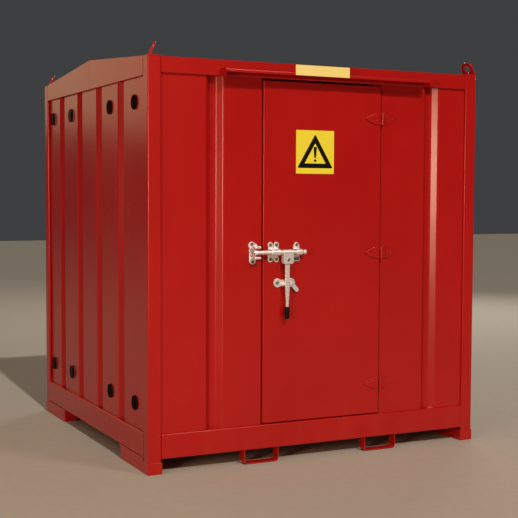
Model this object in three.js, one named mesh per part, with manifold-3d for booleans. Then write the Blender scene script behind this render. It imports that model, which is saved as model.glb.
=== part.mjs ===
// Walk-in steel store for drums and hazardous liquids.
// Folded sheet-steel box on four feet, with fork guides, a sump under lift-out gratings, a shallow
// gabled roof with four lifting eyes, and one outward door held by a quarter-turn lock bar.
//
// Units: millimetres. Z up, front towards -Y, X to the right seen from the front.
// Everything is laid out from the front left corner post (x = 0, y = 0) and the ground (z = 0);
// the finished group is then moved so that its bounding box is centred on X and Y.
import * as THREE from 'three';
import { mergeVertices } from 'three/addons/utils/BufferGeometryUtils.js';
import Module from 'manifold-3d';

const wasm = await Module();
wasm.setup();

// ---------------------------------------------------------------- driving dimensions
const WIDTH = 2185;            // across the front, over the corner posts
const DEPTH = 2070;            // front to rear, over the corner posts
const EAVE = 2300;             // ground to top of the front and rear rails
const RIDGE_RISE = 80;         // ridge above the eaves
const GAP = 0.3;               // clearance between pieces that touch

const POST = 78;               // face width of a corner post
const FRAME_T = 4;             // folded frame steel
const SHEET_T = 3;             // wall, roof and tray sheet
const WALL_SET = 15;           // wall sheets sit this far behind the frame faces
const FLANGE = 60;             // inward flange of the rails

const FOOT = { w: 86, len: 459, h: 81.7, proud: 3, wall: 5, chamfer: 30 };
const POST_Z0 = 66;            // a post reaches below the rails, onto a ledge of its foot
const BASE_RAIL = { z0: 82, z1: 222 };
const TOP_RAIL = { z0: 2210, seat: 2290 };
const GABLE_Z0 = 2200;

const RIB = { open: 105, run: 33, depth: 35 };            // folded recess, full height of a sheet
const FRONT_RIBS = [403, 1860];                           // recess centres from the left corner
const SIDE_RIBS = { first: 488, pitch: 402, count: 4 };
const REAR_RIBS = [330, 711, 1092.5, 1474, 1855];
const VENT = { r: 39, y: [250, 680, 1475, 1900], z: [363, 2066], slot: 9, slots: 4 };

const DOOR = { x0: 703, x1: 1490, y0: 5, y1: 42, z0: 228, z1: 2200, lip: 30 };
const STRIP_END = { left: 698, right: 1497 };             // wall edges each side of the door
const JAMB = { left: [665, 725], right: [1468, 1530], y0: 46, y1: 86 };
const HEAD_Z0 = 2165;
const SILL_Z1 = 262;
const SEAL = 15;

const HOOD = { x0: 427, x1: 1790, out: 80, z1: 2247, lip: 20, cap: 44, t: 3 };
const NAME_PLATE = { x0: 862, x1: 1217, z0: 2229, z1: 2288, t: 2 };
const SIGN = { x0: 912, x1: 1164, z0: 1673, z1: 1925, t: 2 };

const SUMP = { inset: 15.3, z0: 86.3, t: 3 };
const GRATING = { inset: 30, split: 8, z0: 222.3, z1: 247, bar: 5, pitch: 38, edge: 8 };
const FORK = { centres: [696, 1501], w: 222, t: 6, y: 60, z0: 2, r: 22 };

const EYE = { pad: 74, padT: 6, w: 88, h: 82, t: 12, hole: 24, lean: 25 * Math.PI / 180,
  turn: 14 * Math.PI / 180 };

const HINGE = { x: 1496.5, y: -7, z: [2006, 1204, 413], r: 9, pin: 5, h: 72,
  door: 112, frame: 96, tip: 34, t: 6 };

const ROD = { y: -30, z: 1220, r: 11, x0: 626, x1: 952 };
const KEEPER = { x0: 610, x1: 668, z0: 1149, z1: 1280, jaw: 24, jawT: 13 };
const BRACKETS = [{ x0: 730, x1: 803, h: 118, tops: 2 }, { x0: 893, x1: 940, h: 112, tops: 1 }];
const HUB = { x0: 812, x1: 876, drop: 66 };
const LEVER = { pivotZ: 1178, endZ: 892 };
const RETAINER = { x0: 768, x1: 908, z: 1041, lobe: 26 };
const CATCH = { half: 13, length: 50, pin: 4, hang: 48 * Math.PI / 180 };

// ---------------------------------------------------------------- finishes
const paint = (colour, roughness, metalness) =>
  new THREE.MeshStandardMaterial({ color: colour, roughness, metalness });
const RED = paint(0xa81c14, 0.38, 0.0);
const RED_INSIDE = paint(0x9c1b14, 0.5, 0.0);
const ZINC = paint(0xc9c6c2, 0.32, 1.0);
const GALVANISED = paint(0x9fa3a4, 0.5, 1.0);
const RUBBER = paint(0x141414, 0.75, 0.0);
const YELLOW = paint(0xe8c81e, 0.45, 0.0);

// ---------------------------------------------------------------- solids
const toManifold = (geometry) => {
  const g = geometry.index ? geometry.toNonIndexed() : geometry.clone();
  g.deleteAttribute('normal');
  g.deleteAttribute('uv');
  const m = mergeVertices(g, 1e-4);
  return new wasm.Manifold(new wasm.Mesh({
    numProp: 3,
    vertProperties: new Float32Array(m.attributes.position.array),
    triVerts: new Uint32Array(m.index.array),
  }));
};

const toGeometry = (solid) => {
  const mesh = solid.getMesh();
  const g = new THREE.BufferGeometry();
  const stride = mesh.numProp;
  const count = mesh.vertProperties.length / stride;
  const xyz = new Float32Array(count * 3);
  for (let i = 0; i < count; i += 1) {
    for (let k = 0; k < 3; k += 1) xyz[i * 3 + k] = mesh.vertProperties[i * stride + k];
  }
  g.setAttribute('position', new THREE.BufferAttribute(xyz, 3));
  g.setIndex(new THREE.BufferAttribute(new Uint32Array(mesh.triVerts), 1));
  return g;
};

const block = (x0, x1, y0, y1, z0, z1) => toManifold(
  new THREE.BoxGeometry(x1 - x0, y1 - y0, z1 - z0)
    .translate((x0 + x1) / 2, (y0 + y1) / 2, (z0 + z1) / 2));

const outline = (points) => new THREE.Shape(points.map(([a, b]) => new THREE.Vector2(a, b)));

// Prism of an outline drawn in the plane normal to the named axis.
const prism = (axis, shape, from, to) => {
  const g = new THREE.ExtrudeGeometry(Array.isArray(shape) ? outline(shape) : shape,
    { depth: to - from, bevelEnabled: false, curveSegments: 6 });
  if (axis === 'z') g.translate(0, 0, from);
  if (axis === 'x') g.applyMatrix4(new THREE.Matrix4().set(
    0, 0, 1, from, 1, 0, 0, 0, 0, 1, 0, 0, 0, 0, 0, 1));
  if (axis === 'y') g.applyMatrix4(new THREE.Matrix4().set(
    1, 0, 0, 0, 0, 0, -1, to, 0, 1, 0, 0, 0, 0, 0, 1));
  return toManifold(g);
};

// Round bar along an axis; a and b are the two other coordinates in x, y, z order.
const bar = (axis, r, a, b, from, to, sides = 20, r2 = r) => {
  const g = new THREE.CylinderGeometry(r2, r, to - from, sides).translate(0, (from + to) / 2, 0);
  if (axis === 'x') g.rotateZ(-Math.PI / 2).translate(0, a, b);
  if (axis === 'y') g.translate(a, 0, b);
  if (axis === 'z') g.rotateX(Math.PI / 2).translate(a, b, 0);
  return toManifold(g);
};

const join = (...solids) => solids.reduce((sum, s) => sum.add(s));
const cut = (base, ...tools) => tools.reduce((rest, s) => rest.subtract(s), base);

const group = new THREE.Group();
const add = (name, solid, material) => {
  const mesh = new THREE.Mesh(solid.isBufferGeometry ? solid : toGeometry(solid), material);
  mesh.name = name;
  group.add(mesh);
};

// Mirror an X or Y coordinate pair across the middle of the store, keeping low before high.
const flipX = ([a, b]) => [WIDTH - b, WIDTH - a];
const flipY = ([a, b]) => [DEPTH - b, DEPTH - a];

// ---------------------------------------------------------------- corner posts and feet
// Plan of a post at the front left: two faces, each turned in to meet a wall sheet.
const LIP = WALL_SET - GAP;
const postPlan = [[0, 0], [POST, 0], [POST, LIP], [POST - FRAME_T, LIP], [POST - FRAME_T, FRAME_T],
  [FRAME_T, FRAME_T], [FRAME_T, POST - FRAME_T], [LIP, POST - FRAME_T], [LIP, POST], [0, POST]];
const footSide = [[-FOOT.proud, 0], [FOOT.len - FOOT.proud, 0],
  [FOOT.len - FOOT.proud, FOOT.h - FOOT.chamfer / 2],
  [FOOT.len - FOOT.proud + FOOT.chamfer, FOOT.h], [POST + GAP, FOOT.h],
  [POST + GAP, POST_Z0 - GAP], [-FOOT.proud, POST_Z0 - GAP]];

const CORNERS = [
  { name: 'front_left', right: false, rear: false },
  { name: 'front_right', right: true, rear: false },
  { name: 'rear_left', right: false, rear: true },
  { name: 'rear_right', right: true, rear: true },
];

const place = (points, right, rear) => points.map(([x, y]) =>
  [right ? WIDTH - x : x, rear ? DEPTH - y : y]);

for (const { name, right, rear } of CORNERS) {
  add(`post_${name}`,
    prism('z', place(postPlan, right, rear), POST_Z0, EAVE), RED);

  const [fx0, fx1] = right ? flipX([-FOOT.proud, FOOT.w - FOOT.proud])
    : [-FOOT.proud, FOOT.w - FOOT.proud];
  const side = footSide.map(([y, z]) => [rear ? DEPTH - y : y, z]);
  const [hy0, hy1] = rear ? flipY([FOOT.wall, FOOT.len - 12]) : [FOOT.wall, FOOT.len - 12];
  add(`foot_${name}`, cut(prism('x', side, fx0, fx1),
    block(fx0 + FOOT.wall, fx1 - FOOT.wall, hy0, hy1, FOOT.wall, FOOT.h + 10)), RED);
}

// ---------------------------------------------------------------- base rails
const baseRailSection = [[0, BASE_RAIL.z0], [FLANGE, BASE_RAIL.z0],
  [FLANGE, BASE_RAIL.z0 + FRAME_T], [FRAME_T, BASE_RAIL.z0 + FRAME_T],
  [FRAME_T, BASE_RAIL.z1 - FRAME_T], [FLANGE, BASE_RAIL.z1 - FRAME_T],
  [FLANGE, BASE_RAIL.z1], [0, BASE_RAIL.z1]];
const mirrored = (section, size) => section.map(([a, z]) => [size - a, z]);
const between = [POST + GAP, -POST - GAP];

add('base_rail_front', prism('x', baseRailSection, between[0], WIDTH + between[1]), RED);
add('base_rail_rear', prism('x', mirrored(baseRailSection, DEPTH), between[0],
  WIDTH + between[1]), RED);
add('base_rail_left', prism('y', baseRailSection, between[0], DEPTH + between[1]), RED);
add('base_rail_right', prism('y', mirrored(baseRailSection, WIDTH), between[0],
  DEPTH + between[1]), RED);

// ---------------------------------------------------------------- top rails and gables
const topRailSection = [[0, TOP_RAIL.z0], [LIP, TOP_RAIL.z0], [LIP, TOP_RAIL.z0 + FRAME_T],
  [FRAME_T, TOP_RAIL.z0 + FRAME_T], [FRAME_T, TOP_RAIL.seat], [FLANGE, TOP_RAIL.seat],
  [FLANGE, TOP_RAIL.seat + FRAME_T], [FRAME_T, TOP_RAIL.seat + FRAME_T], [FRAME_T, EAVE],
  [0, EAVE]];
add('top_rail_front', prism('x', topRailSection, between[0], WIDTH + between[1]), RED);
add('top_rail_rear', prism('x', mirrored(topRailSection, DEPTH), between[0],
  WIDTH + between[1]), RED);

const SLOPE = RIDGE_RISE / (DEPTH / 2);
const roofLine = (y) => SLOPE * Math.min(y, DEPTH - y);
const gableFace = [[POST + GAP, GABLE_Z0], [DEPTH - POST - GAP, GABLE_Z0],
  [DEPTH - POST - GAP, EAVE + roofLine(POST)], [DEPTH / 2, EAVE + RIDGE_RISE],
  [POST + GAP, EAVE + roofLine(POST)]];
for (const [name, right] of [['left', false], ['right', true]]) {
  const [px0, px1] = right ? flipX([0, FRAME_T]) : [0, FRAME_T];
  const [lx0, lx1] = right ? flipX([0, LIP]) : [0, LIP];
  add(`gable_${name}`, join(prism('x', gableFace, px0, px1),
    block(lx0, lx1, POST + GAP, DEPTH - POST - GAP, GABLE_Z0, GABLE_Z0 + FRAME_T)), RED);
}

// ---------------------------------------------------------------- ribbed wall sheets
const SHEET_Z = [BASE_RAIL.z1 + GAP, TOP_RAIL.seat - GAP];

// One face of a ribbed sheet in plan: `set` in from the outer plane, its recesses `spread` wider.
const ribbedLine = (a0, a1, ribs, set, spread) => [[a0, set], ...ribs.flatMap((c) => [
  [c - RIB.open / 2 - spread, set],
  [c - RIB.open / 2 + RIB.run - spread, set + RIB.depth],
  [c + RIB.open / 2 - RIB.run + spread, set + RIB.depth],
  [c + RIB.open / 2 + spread, set]]), [a1, set]];

// A wall sheet from a0 to a1 on its outer plane `face`, with recesses at the given centres that
// run from the base rail to the roof; `inward` is +1 when the inside lies towards larger
// coordinates.
const wallSheet = (a0, a1, face, inward, ribs, alongX) => {
  const spread = SHEET_T * Math.tan(Math.atan2(RIB.depth, RIB.run) / 2);
  const plan = [...ribbedLine(a0, a1, ribs, 0, 0),
    ...ribbedLine(a0, a1, ribs, SHEET_T, spread).reverse()];
  return prism('z', plan.map(([a, d]) =>
    (alongX ? [a, face + inward * d] : [face + inward * d, a])), ...SHEET_Z);
};

const sideRibs = Array.from({ length: SIDE_RIBS.count },
  (_, i) => SIDE_RIBS.first + i * SIDE_RIBS.pitch);

// Round vents through a side wall, each with a slotted disc behind that keeps everything but air out.
const withVents = (solid, face, inward) => {
  const span = (near, far) => [Math.min(face + inward * near, face + inward * far),
    Math.max(face + inward * near, face + inward * far)];
  const places = VENT.y.flatMap((y) => VENT.z.map((z) => [y, z]));
  const pitch = VENT.slot + 7;
  const slots = Array.from({ length: VENT.slots }, (_, i) =>
    (i - (VENT.slots - 1) / 2) * pitch);
  const holes = places.map(([y, z]) => bar('x', VENT.r, y, z, ...span(-5, SHEET_T + 5), 20));
  const discs = places.map(([y, z]) => cut(
    bar('x', VENT.r + 8, y, z, ...span(SHEET_T - 0.5, SHEET_T + 3), 20),
    ...slots.map((s) => block(...span(0, SHEET_T + 8), y + s - VENT.slot / 2,
      y + s + VENT.slot / 2, z - VENT.r + 12, z + VENT.r - 12))));
  return join(cut(solid, ...holes), ...discs);
};

add('wall_left', withVents(
  wallSheet(FLANGE, DEPTH - FLANGE, WALL_SET, 1, sideRibs, false), WALL_SET, 1), RED);
add('wall_right', withVents(
  wallSheet(FLANGE, DEPTH - FLANGE, WIDTH - WALL_SET, -1, sideRibs, false),
  WIDTH - WALL_SET, -1), RED);
add('wall_rear', wallSheet(FLANGE, WIDTH - FLANGE, DEPTH - WALL_SET, -1, REAR_RIBS, true), RED);

// The front sheets fold back beside the door, to the face of the jambs.
const returnLeaf = (x0, x1) => block(x0, x1, WALL_SET, JAMB.y0 - GAP, SHEET_Z[0], TOP_RAIL.z0 - 4);
add('wall_front_left', join(
  wallSheet(FLANGE, STRIP_END.left, WALL_SET, 1, [FRONT_RIBS[0]], true),
  returnLeaf(STRIP_END.left - SHEET_T, STRIP_END.left)), RED);
add('wall_front_right', join(
  wallSheet(STRIP_END.right, WIDTH - FLANGE, WALL_SET, 1, [FRONT_RIBS[1]], true),
  returnLeaf(STRIP_END.right, STRIP_END.right + SHEET_T)), RED);

// ---------------------------------------------------------------- roof
const roofSection = [[FRAME_T + GAP, TOP_RAIL.seat + FRAME_T + GAP + 0.3],
  [DEPTH / 2 - GAP / 2, TOP_RAIL.seat + FRAME_T + GAP + 0.3 + RIDGE_RISE - 0.4],
  [DEPTH / 2 - GAP / 2, TOP_RAIL.seat + FRAME_T + GAP + 3.3 + RIDGE_RISE - 0.4],
  [FRAME_T + GAP, TOP_RAIL.seat + FRAME_T + GAP + 3.3]];
const cornerNotch = (x, y) => block(x - POST - 4, x + POST + 4, y - POST - 4, y + POST + 4,
  EAVE - 30, EAVE + 30);
for (const [name, rear] of [['front', false], ['rear', true]]) {
  const y = rear ? DEPTH : 0;
  add(`roof_${name}`, cut(
    prism('x', rear ? mirrored(roofSection, DEPTH) : roofSection, FRAME_T + GAP,
      WIDTH - FRAME_T - GAP),
    cornerNotch(0, y), cornerNotch(WIDTH, y)), RED);
}

// ---------------------------------------------------------------- lifting eyes
// Rounded plate with a hole, leaning in towards the middle of the roof, on a flat corner pad.
const eyeShape = () => {
  const s = new THREE.Shape();
  const half = EYE.w / 2;
  s.moveTo(-half, -8);
  s.lineTo(half, -8);
  s.lineTo(half, EYE.h - half);
  s.absarc(0, EYE.h - half, half, 0, Math.PI, false);
  s.lineTo(-half, -8);
  const hole = new THREE.Path();
  hole.absarc(0, EYE.h - half, EYE.hole, 0, Math.PI * 2, true);
  s.holes.push(hole);
  return s;
};

for (const { name, right, rear } of CORNERS) {
  const padZ = EAVE + GAP;
  const [px0, px1] = right ? flipX([0, EYE.pad]) : [0, EYE.pad];
  const [py0, py1] = rear ? flipY([0, POST]) : [0, POST];
  const plate = new THREE.ExtrudeGeometry(eyeShape(),
    { depth: EYE.t, bevelEnabled: false, curveSegments: 8 });
  plate.translate(0, 0, -EYE.t / 2);
  plate.applyMatrix4(new THREE.Matrix4().set(0, 0, 1, 0, 1, 0, 0, 0, 0, 1, 0, 0, 0, 0, 0, 1));
  plate.rotateY(right ? -EYE.lean : EYE.lean);
  plate.rotateZ(right ? EYE.turn : -EYE.turn);
  const ex = right ? WIDTH - 22 : 22;
  const ey = rear ? DEPTH - 44 : 46;
  plate.translate(ex, ey, padZ + EYE.padT);
  const trimmed = cut(toManifold(plate), block(ex - 60, ex + 60, ey - 60, ey + 60,
    padZ - 60, padZ + EYE.padT - 1));
  add(`lifting_eye_${name}`, join(block(px0, px1, py0, py1, padZ, padZ + EYE.padT), trimmed), RED);
}

// ---------------------------------------------------------------- fork guides
const forkSection = (cx) => {
  const s = new THREE.Shape();
  const h = FORK.w / 2;
  const top = BASE_RAIL.z0 - GAP;
  const inner = FORK.r - FORK.t;
  s.moveTo(cx - h, top);
  s.lineTo(cx - h, FORK.z0 + FORK.r);
  s.absarc(cx - h + FORK.r, FORK.z0 + FORK.r, FORK.r, Math.PI, Math.PI * 1.5, false);
  s.lineTo(cx + h - FORK.r, FORK.z0);
  s.absarc(cx + h - FORK.r, FORK.z0 + FORK.r, FORK.r, -Math.PI / 2, 0, false);
  s.lineTo(cx + h, top);
  s.lineTo(cx + h - FORK.t, top);
  s.lineTo(cx + h - FORK.t, FORK.z0 + FORK.r);
  s.absarc(cx + h - FORK.r, FORK.z0 + FORK.r, inner, 0, -Math.PI / 2, true);
  s.lineTo(cx - h + FORK.r, FORK.z0 + FORK.t);
  s.absarc(cx - h + FORK.r, FORK.z0 + FORK.r, inner, -Math.PI / 2, -Math.PI, true);
  s.lineTo(cx - h + FORK.t, top);
  return s;
};
for (const [where, y0] of [['front', 0], ['rear', DEPTH - FORK.y]]) {
  FORK.centres.forEach((cx, i) => add(`fork_guide_${where}_${i ? 'right' : 'left'}`,
    prism('y', forkSection(cx), y0, y0 + FORK.y), RED));
}

// ---------------------------------------------------------------- sump floor and gratings
// The plate lies on the lower flanges of the base rails, and the rails are the sides of the sump.
add('sump_floor', block(SUMP.inset, WIDTH - SUMP.inset, SUMP.inset, DEPTH - SUMP.inset,
  SUMP.z0, SUMP.z0 + SUMP.t), RED_INSIDE);

// Open gratings: bearing bars from side to side inside a border.
const grating = (x0, x1, y0, y1) => {
  const { edge, pitch, z0, z1 } = GRATING;
  const rows = Math.round((y1 - y0 - 2 * edge + GRATING.bar) / pitch);
  const step = (y1 - y0 - 2 * edge + GRATING.bar) / rows;
  const slots = Array.from({ length: rows }, (_, r) => block(x0 + edge, x1 - edge,
    y0 + edge + r * step, y0 + edge + (r + 1) * step - GRATING.bar, z0 - 5, z1 + 5));
  return cut(block(x0, x1, y0, y1, z0, z1), join(...slots));
};
const gx = GRATING.inset + 26;
const gy = [JAMB.y1 + 2, DEPTH - gx];
add('grating_left', grating(gx, WIDTH / 2 - GRATING.split / 2, ...gy), GALVANISED);
add('grating_right', grating(WIDTH / 2 + GRATING.split / 2, WIDTH - gx, ...gy), GALVANISED);

// ---------------------------------------------------------------- door frame
const channel = (a0, a1, y0, y1) => [[a0, y0], [a1, y0], [a1, y1], [a1 - FRAME_T, y1],
  [a1 - FRAME_T, y0 + FRAME_T], [a0 + FRAME_T, y0 + FRAME_T], [a0 + FRAME_T, y1], [a0, y1]];
const channelYZ = (z0, z1, y0, y1) => channel(z0, z1, y0, y1).map(([z, y]) => [y, z]);
const jambZ = [BASE_RAIL.z1 + GAP, TOP_RAIL.seat - GAP];
add('door_jamb_left', prism('z', channel(...JAMB.left, JAMB.y0, JAMB.y1), ...jambZ), RED);
add('door_jamb_right', prism('z', channel(...JAMB.right, JAMB.y0, JAMB.y1), ...jambZ), RED);
const clearX = [JAMB.left[1] + GAP, JAMB.right[0] - GAP];
add('door_header', prism('x', channelYZ(HEAD_Z0, TOP_RAIL.z0 - 5, JAMB.y0, JAMB.y1), ...clearX),
  RED);
add('door_sill', prism('x', channelYZ(BASE_RAIL.z1 + GAP, SILL_Z1, JAMB.y0, JAMB.y1), ...clearX),
  RED);

// ---------------------------------------------------------------- door leaf
const inX = [DOOR.x0 + SHEET_T, DOOR.x1 - SHEET_T];
const inZ = [DOOR.z0 + SHEET_T, DOOR.z1 - SHEET_T];
add('door_leaf', cut(
  block(DOOR.x0, DOOR.x1, DOOR.y0, DOOR.y1, DOOR.z0, DOOR.z1),
  block(...inX, DOOR.y0 + SHEET_T, DOOR.y1 - SHEET_T, ...inZ),
  block(DOOR.x0 + DOOR.lip, DOOR.x1 - DOOR.lip, DOOR.y0 + 10, DOOR.y1 + 10,
    DOOR.z0 + DOOR.lip, DOOR.z1 - DOOR.lip)), RED);

const stiffY = [DOOR.y0 + SHEET_T + GAP, DOOR.y1 - 6];
const upright = (x) => block(x - 28, x + 28, ...stiffY, DOOR.z0 + 60, DOOR.z1 - 60);
const rail = (z) => block(DOOR.x0 + 90, DOOR.x1 - 90, ...stiffY, z - 28, z + 28);
const midX = (DOOR.x0 + DOOR.x1) / 2;
add('door_stiffener', cut(
  join(upright(DOOR.x0 + 118), upright(DOOR.x1 - 118), rail(DOOR.z0 + 88), rail(DOOR.z1 - 88),
    rail(ROD.z), upright(midX)),
  block(DOOR.x0 + 94, DOOR.x0 + 142, stiffY[1] - 25, stiffY[1] + 1, DOOR.z0 + 64, DOOR.z1 - 64),
  block(DOOR.x1 - 142, DOOR.x1 - 94, stiffY[1] - 25, stiffY[1] + 1, DOOR.z0 + 64, DOOR.z1 - 64)),
RED_INSIDE);

const ring = (outer, inner, y0, y1) => cut(block(outer[0], outer[1], y0, y1, outer[2], outer[3]),
  block(inner[0], inner[1], y0 - 1, y1 + 1, inner[2], inner[3]));
add('door_seal', ring([DOOR.x0 + 6, DOOR.x1 - 6, DOOR.z0 + 6, DOOR.z1 - 6],
  [DOOR.x0 + 6 + SEAL, DOOR.x1 - 6 - SEAL, DOOR.z0 + 6 + SEAL, DOOR.z1 - 6 - SEAL],
  DOOR.y1 + GAP, JAMB.y0 - GAP), RUBBER);

// ---------------------------------------------------------------- hinges
// Each hinge is a tapered strap on the door and one on the wall, meeting at a barrel of three
// knuckles; the wall strap carries the middle knuckle and the door strap the pin.
const strap = (sign, length) => {
  const h = HINGE.h / 2;
  const t = HINGE.tip / 2;
  const s = new THREE.Shape();
  s.moveTo(0, -h);
  s.lineTo(sign * length * 0.35, -h);
  s.lineTo(sign * (length - t), -t);
  s.absarc(sign * (length - t), 0, t, -Math.PI / 2, Math.PI / 2, sign < 0);
  s.lineTo(sign * length * 0.35, h);
  s.lineTo(0, h);
  return s;
};
HINGE.z.forEach((z, i) => {
  const third = HINGE.h / 6;
  const { x, y, r } = HINGE;
  const at = (solid) => solid.translate([x, 0, z]);
  const doorFace = DOOR.y0 - GAP;
  const wallFace = WALL_SET - GAP;
  const doorStrap = cut(at(prism('y', strap(-1, HINGE.door), doorFace - HINGE.t, doorFace)),
    bar('z', r + 1.5, x, y, z - third - 1, z + third + 1),
    block(x - r - 2.5, x + 20, y, doorFace + 1, z - third - 1, z + third + 1));
  const knuckles = [1, -1].map((s) => {
    const z0 = s > 0 ? z + third + GAP : z - HINGE.h / 2;
    const z1 = s > 0 ? z + HINGE.h / 2 : z - third - GAP;
    return join(bar('z', r, x, y, z0, z1), block(x - r, x, y, doorFace, z0, z1));
  });
  add(`hinge_${i + 1}_door_leaf`, join(doorStrap, ...knuckles,
    bar('z', HINGE.pin, x, y, z - HINGE.h / 2, z + HINGE.h / 2, 16)), RED);
  add(`hinge_${i + 1}_wall_leaf`, cut(join(
    cut(at(prism('y', strap(1, HINGE.frame), wallFace - HINGE.t, wallFace)),
      block(x - 1, x + 4, 0, 40, z - 60, z + 60)),
    bar('z', r, x, y, z - third, z + third),
    block(x + 1, x + r + 3, y, wallFace, z - third, z + third)),
  bar('z', HINGE.pin + 0.5, x, y, z - 60, z + 60, 16)), RED);
});

// ---------------------------------------------------------------- lock bar
const padY = DOOR.y0 - GAP;
const { x0: kx0, x1: kx1 } = KEEPER;
const kx = (kx0 + kx1) / 2;
const lobe = (cx, cz, r, y0, y1) => bar('y', r, cx, cz, y0, y1, 20);

// Keeper on the wall: base with two bolt lobes and a jaw above and below the cam.
const kFace = WALL_SET - GAP;
add('lock_keeper', join(
  block(kx0 + 8, kx1 - 8, kFace - 6, kFace, KEEPER.z0 + 18, KEEPER.z1 - 18),
  lobe(kx, KEEPER.z1 - 24, 24, kFace - 9, kFace), lobe(kx, KEEPER.z0 + 24, 24, kFace - 9, kFace),
  block(kx0 + 12, kx1, ROD.y - 16, kFace, ROD.z + KEEPER.jaw, ROD.z + KEEPER.jaw + KEEPER.jawT),
  block(kx0 + 12, kx1, ROD.y - 16, kFace, ROD.z - KEEPER.jaw - KEEPER.jawT, ROD.z - KEEPER.jaw),
), ZINC);

// Bearing brackets on the door: bolt lobes round a raised saddle that the bar turns in.
BRACKETS.forEach(({ x0, x1, h, tops }, i) => {
  const r = Math.min(17, (x1 - x0) / 3.2);
  const zs = [ROD.z + h / 2 - r, ROD.z - h / 2 + r];
  const xs = [x0 + r, x1 - r];
  const topXs = tops === 1 ? [(x0 + x1) / 2] : xs;
  add(`rod_bracket_${i + 1}`, cut(join(
    block(x0 + 3, x1 - 3, padY - 5, padY, zs[1], zs[0]),
    ...topXs.map((x) => lobe(x, zs[0], r, padY - 6, padY)),
    ...xs.map((x) => lobe(x, zs[1], r, padY - 6, padY)),
    block(x0 + 5, x1 - 5, ROD.y, padY, ROD.z - 18, ROD.z + 18),
    bar('x', 18, ROD.y, ROD.z, x0 + 5, x1 - 5, 24)),
  bar('x', ROD.r + 0.5, ROD.y, ROD.z, x0 - 5, x1 + 5, 24)), ZINC);
});

// Turning bar with its cam, end cap and lever hub; the hub's fork hangs below and in front.
const hubMid = (HUB.x0 + HUB.x1) / 2;
const forkPlate = (y0, y1) => join(
  block(HUB.x0, HUB.x1, y0, y1, ROD.z - HUB.drop + 6, ROD.z),
  block(HUB.x0 + 6, HUB.x1 - 6, y0, y1, ROD.z - HUB.drop, ROD.z));
add('lock_rod', join(
  bar('x', ROD.r, ROD.y, ROD.z, ROD.x0, ROD.x1, 24),
  bar('x', 15, ROD.y, ROD.z, ROD.x1 - 1, ROD.x1 + 11, 24),
  bar('x', 15, ROD.y, ROD.z, HUB.x0, HUB.x1, 24),
  prism('x', [[ROD.y - 15, ROD.z - 12], [ROD.y + 12, ROD.z - 12], [ROD.y + 17, ROD.z],
    [ROD.y + 12, ROD.z + 12], [ROD.y - 15, ROD.z + 12], [ROD.y - 20, ROD.z]], ROD.x0 - 1,
  ROD.x0 + 20),
  forkPlate(ROD.y - 15, ROD.y - 10), forkPlate(ROD.y + 10, ROD.y + 15),
  bar('y', 5, hubMid - 2, LEVER.pivotZ, ROD.y - 19, ROD.y + 15, 16)), ZINC);

// Lever: a flat forging that narrows downwards, bored for the hub rivet.
const leverX = hubMid - 2;
const leverOutline = new THREE.Shape();
[[-15, 1170], [-14, 1102], [-16, 1052], [-13, 1012], [-11, 972], [-9, 937], [-8, LEVER.endZ],
  [7, LEVER.endZ], [8, 937], [11, 972], [13, 1012], [13, 1052], [14, 1102], [15, 1170]]
  .forEach(([dx, z], i) => (i ? leverOutline.lineTo(leverX + dx, z)
    : leverOutline.moveTo(leverX + dx, z)));
leverOutline.absarc(leverX, LEVER.pivotZ, 15, 0, Math.PI, false);
add('lock_lever', cut(prism('y', leverOutline, ROD.y - 6, ROD.y + 6),
  bar('y', 5.5, leverX, LEVER.pivotZ, ROD.y - 30, ROD.y + 30, 16)), ZINC);
add('lever_grip', cut(bar('z', 13, leverX - 0.5, ROD.y, 834, 904, 20, 11),
  block(leverX - 9, leverX + 8, ROD.y - 6.4, ROD.y + 6.4, LEVER.endZ - GAP, 912)), RUBBER);

// Retainer that the lever hangs in: two bolt lobes, a seat behind and a stop on the right.
const rz = RETAINER.z;
const lobeX = [RETAINER.x0 + RETAINER.lobe, RETAINER.x1 - RETAINER.lobe];
add('lever_retainer', join(
  lobe(lobeX[0], rz, RETAINER.lobe, padY - 8, padY),
  lobe(lobeX[1], rz, RETAINER.lobe, padY - 8, padY),
  block(lobeX[0], lobeX[1], padY - 7, padY, rz - 19, rz + 19),
  block(leverX - 22, leverX + 24, ROD.y + 8, padY, rz - 15, rz + 15),
  block(leverX + 16.5, leverX + 24, ROD.y - 9, padY, rz - 15, rz + 15),
  bar('y', CATCH.pin, lobeX[1], rz - 4, padY - 20, padY - 7, 16),
  bar('y', CATCH.pin + 4, lobeX[1], rz - 4, padY - 20, padY - 16, 16)), ZINC);

// Catch for a padlock, turning on the right lobe, hanging down and to the right.
const catchShape = new THREE.Shape();
catchShape.absarc(0, 0, CATCH.half, Math.PI / 2, Math.PI * 1.5, false);
catchShape.lineTo(CATCH.length, -CATCH.half);
catchShape.absarc(CATCH.length, 0, CATCH.half, -Math.PI / 2, Math.PI / 2, false);
catchShape.holes.push(new THREE.Path().absarc(0, 0, CATCH.pin + 0.5, 0, Math.PI * 2, true));
const catchY = padY - 8 - GAP;
const rivetX = lobeX[1];
const catchTurn = new THREE.Matrix4().makeRotationY(CATCH.hang);
const catchGeometry = new THREE.ExtrudeGeometry(catchShape,
  { depth: 6, bevelEnabled: false, curveSegments: 8 });
catchGeometry.applyMatrix4(new THREE.Matrix4().set(
  1, 0, 0, 0, 0, 0, -1, 0, 0, 1, 0, 0, 0, 0, 0, 1));
catchGeometry.applyMatrix4(catchTurn).translate(rivetX, catchY, rz - 4);
add('padlock_catch', toManifold(catchGeometry), ZINC);

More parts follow.
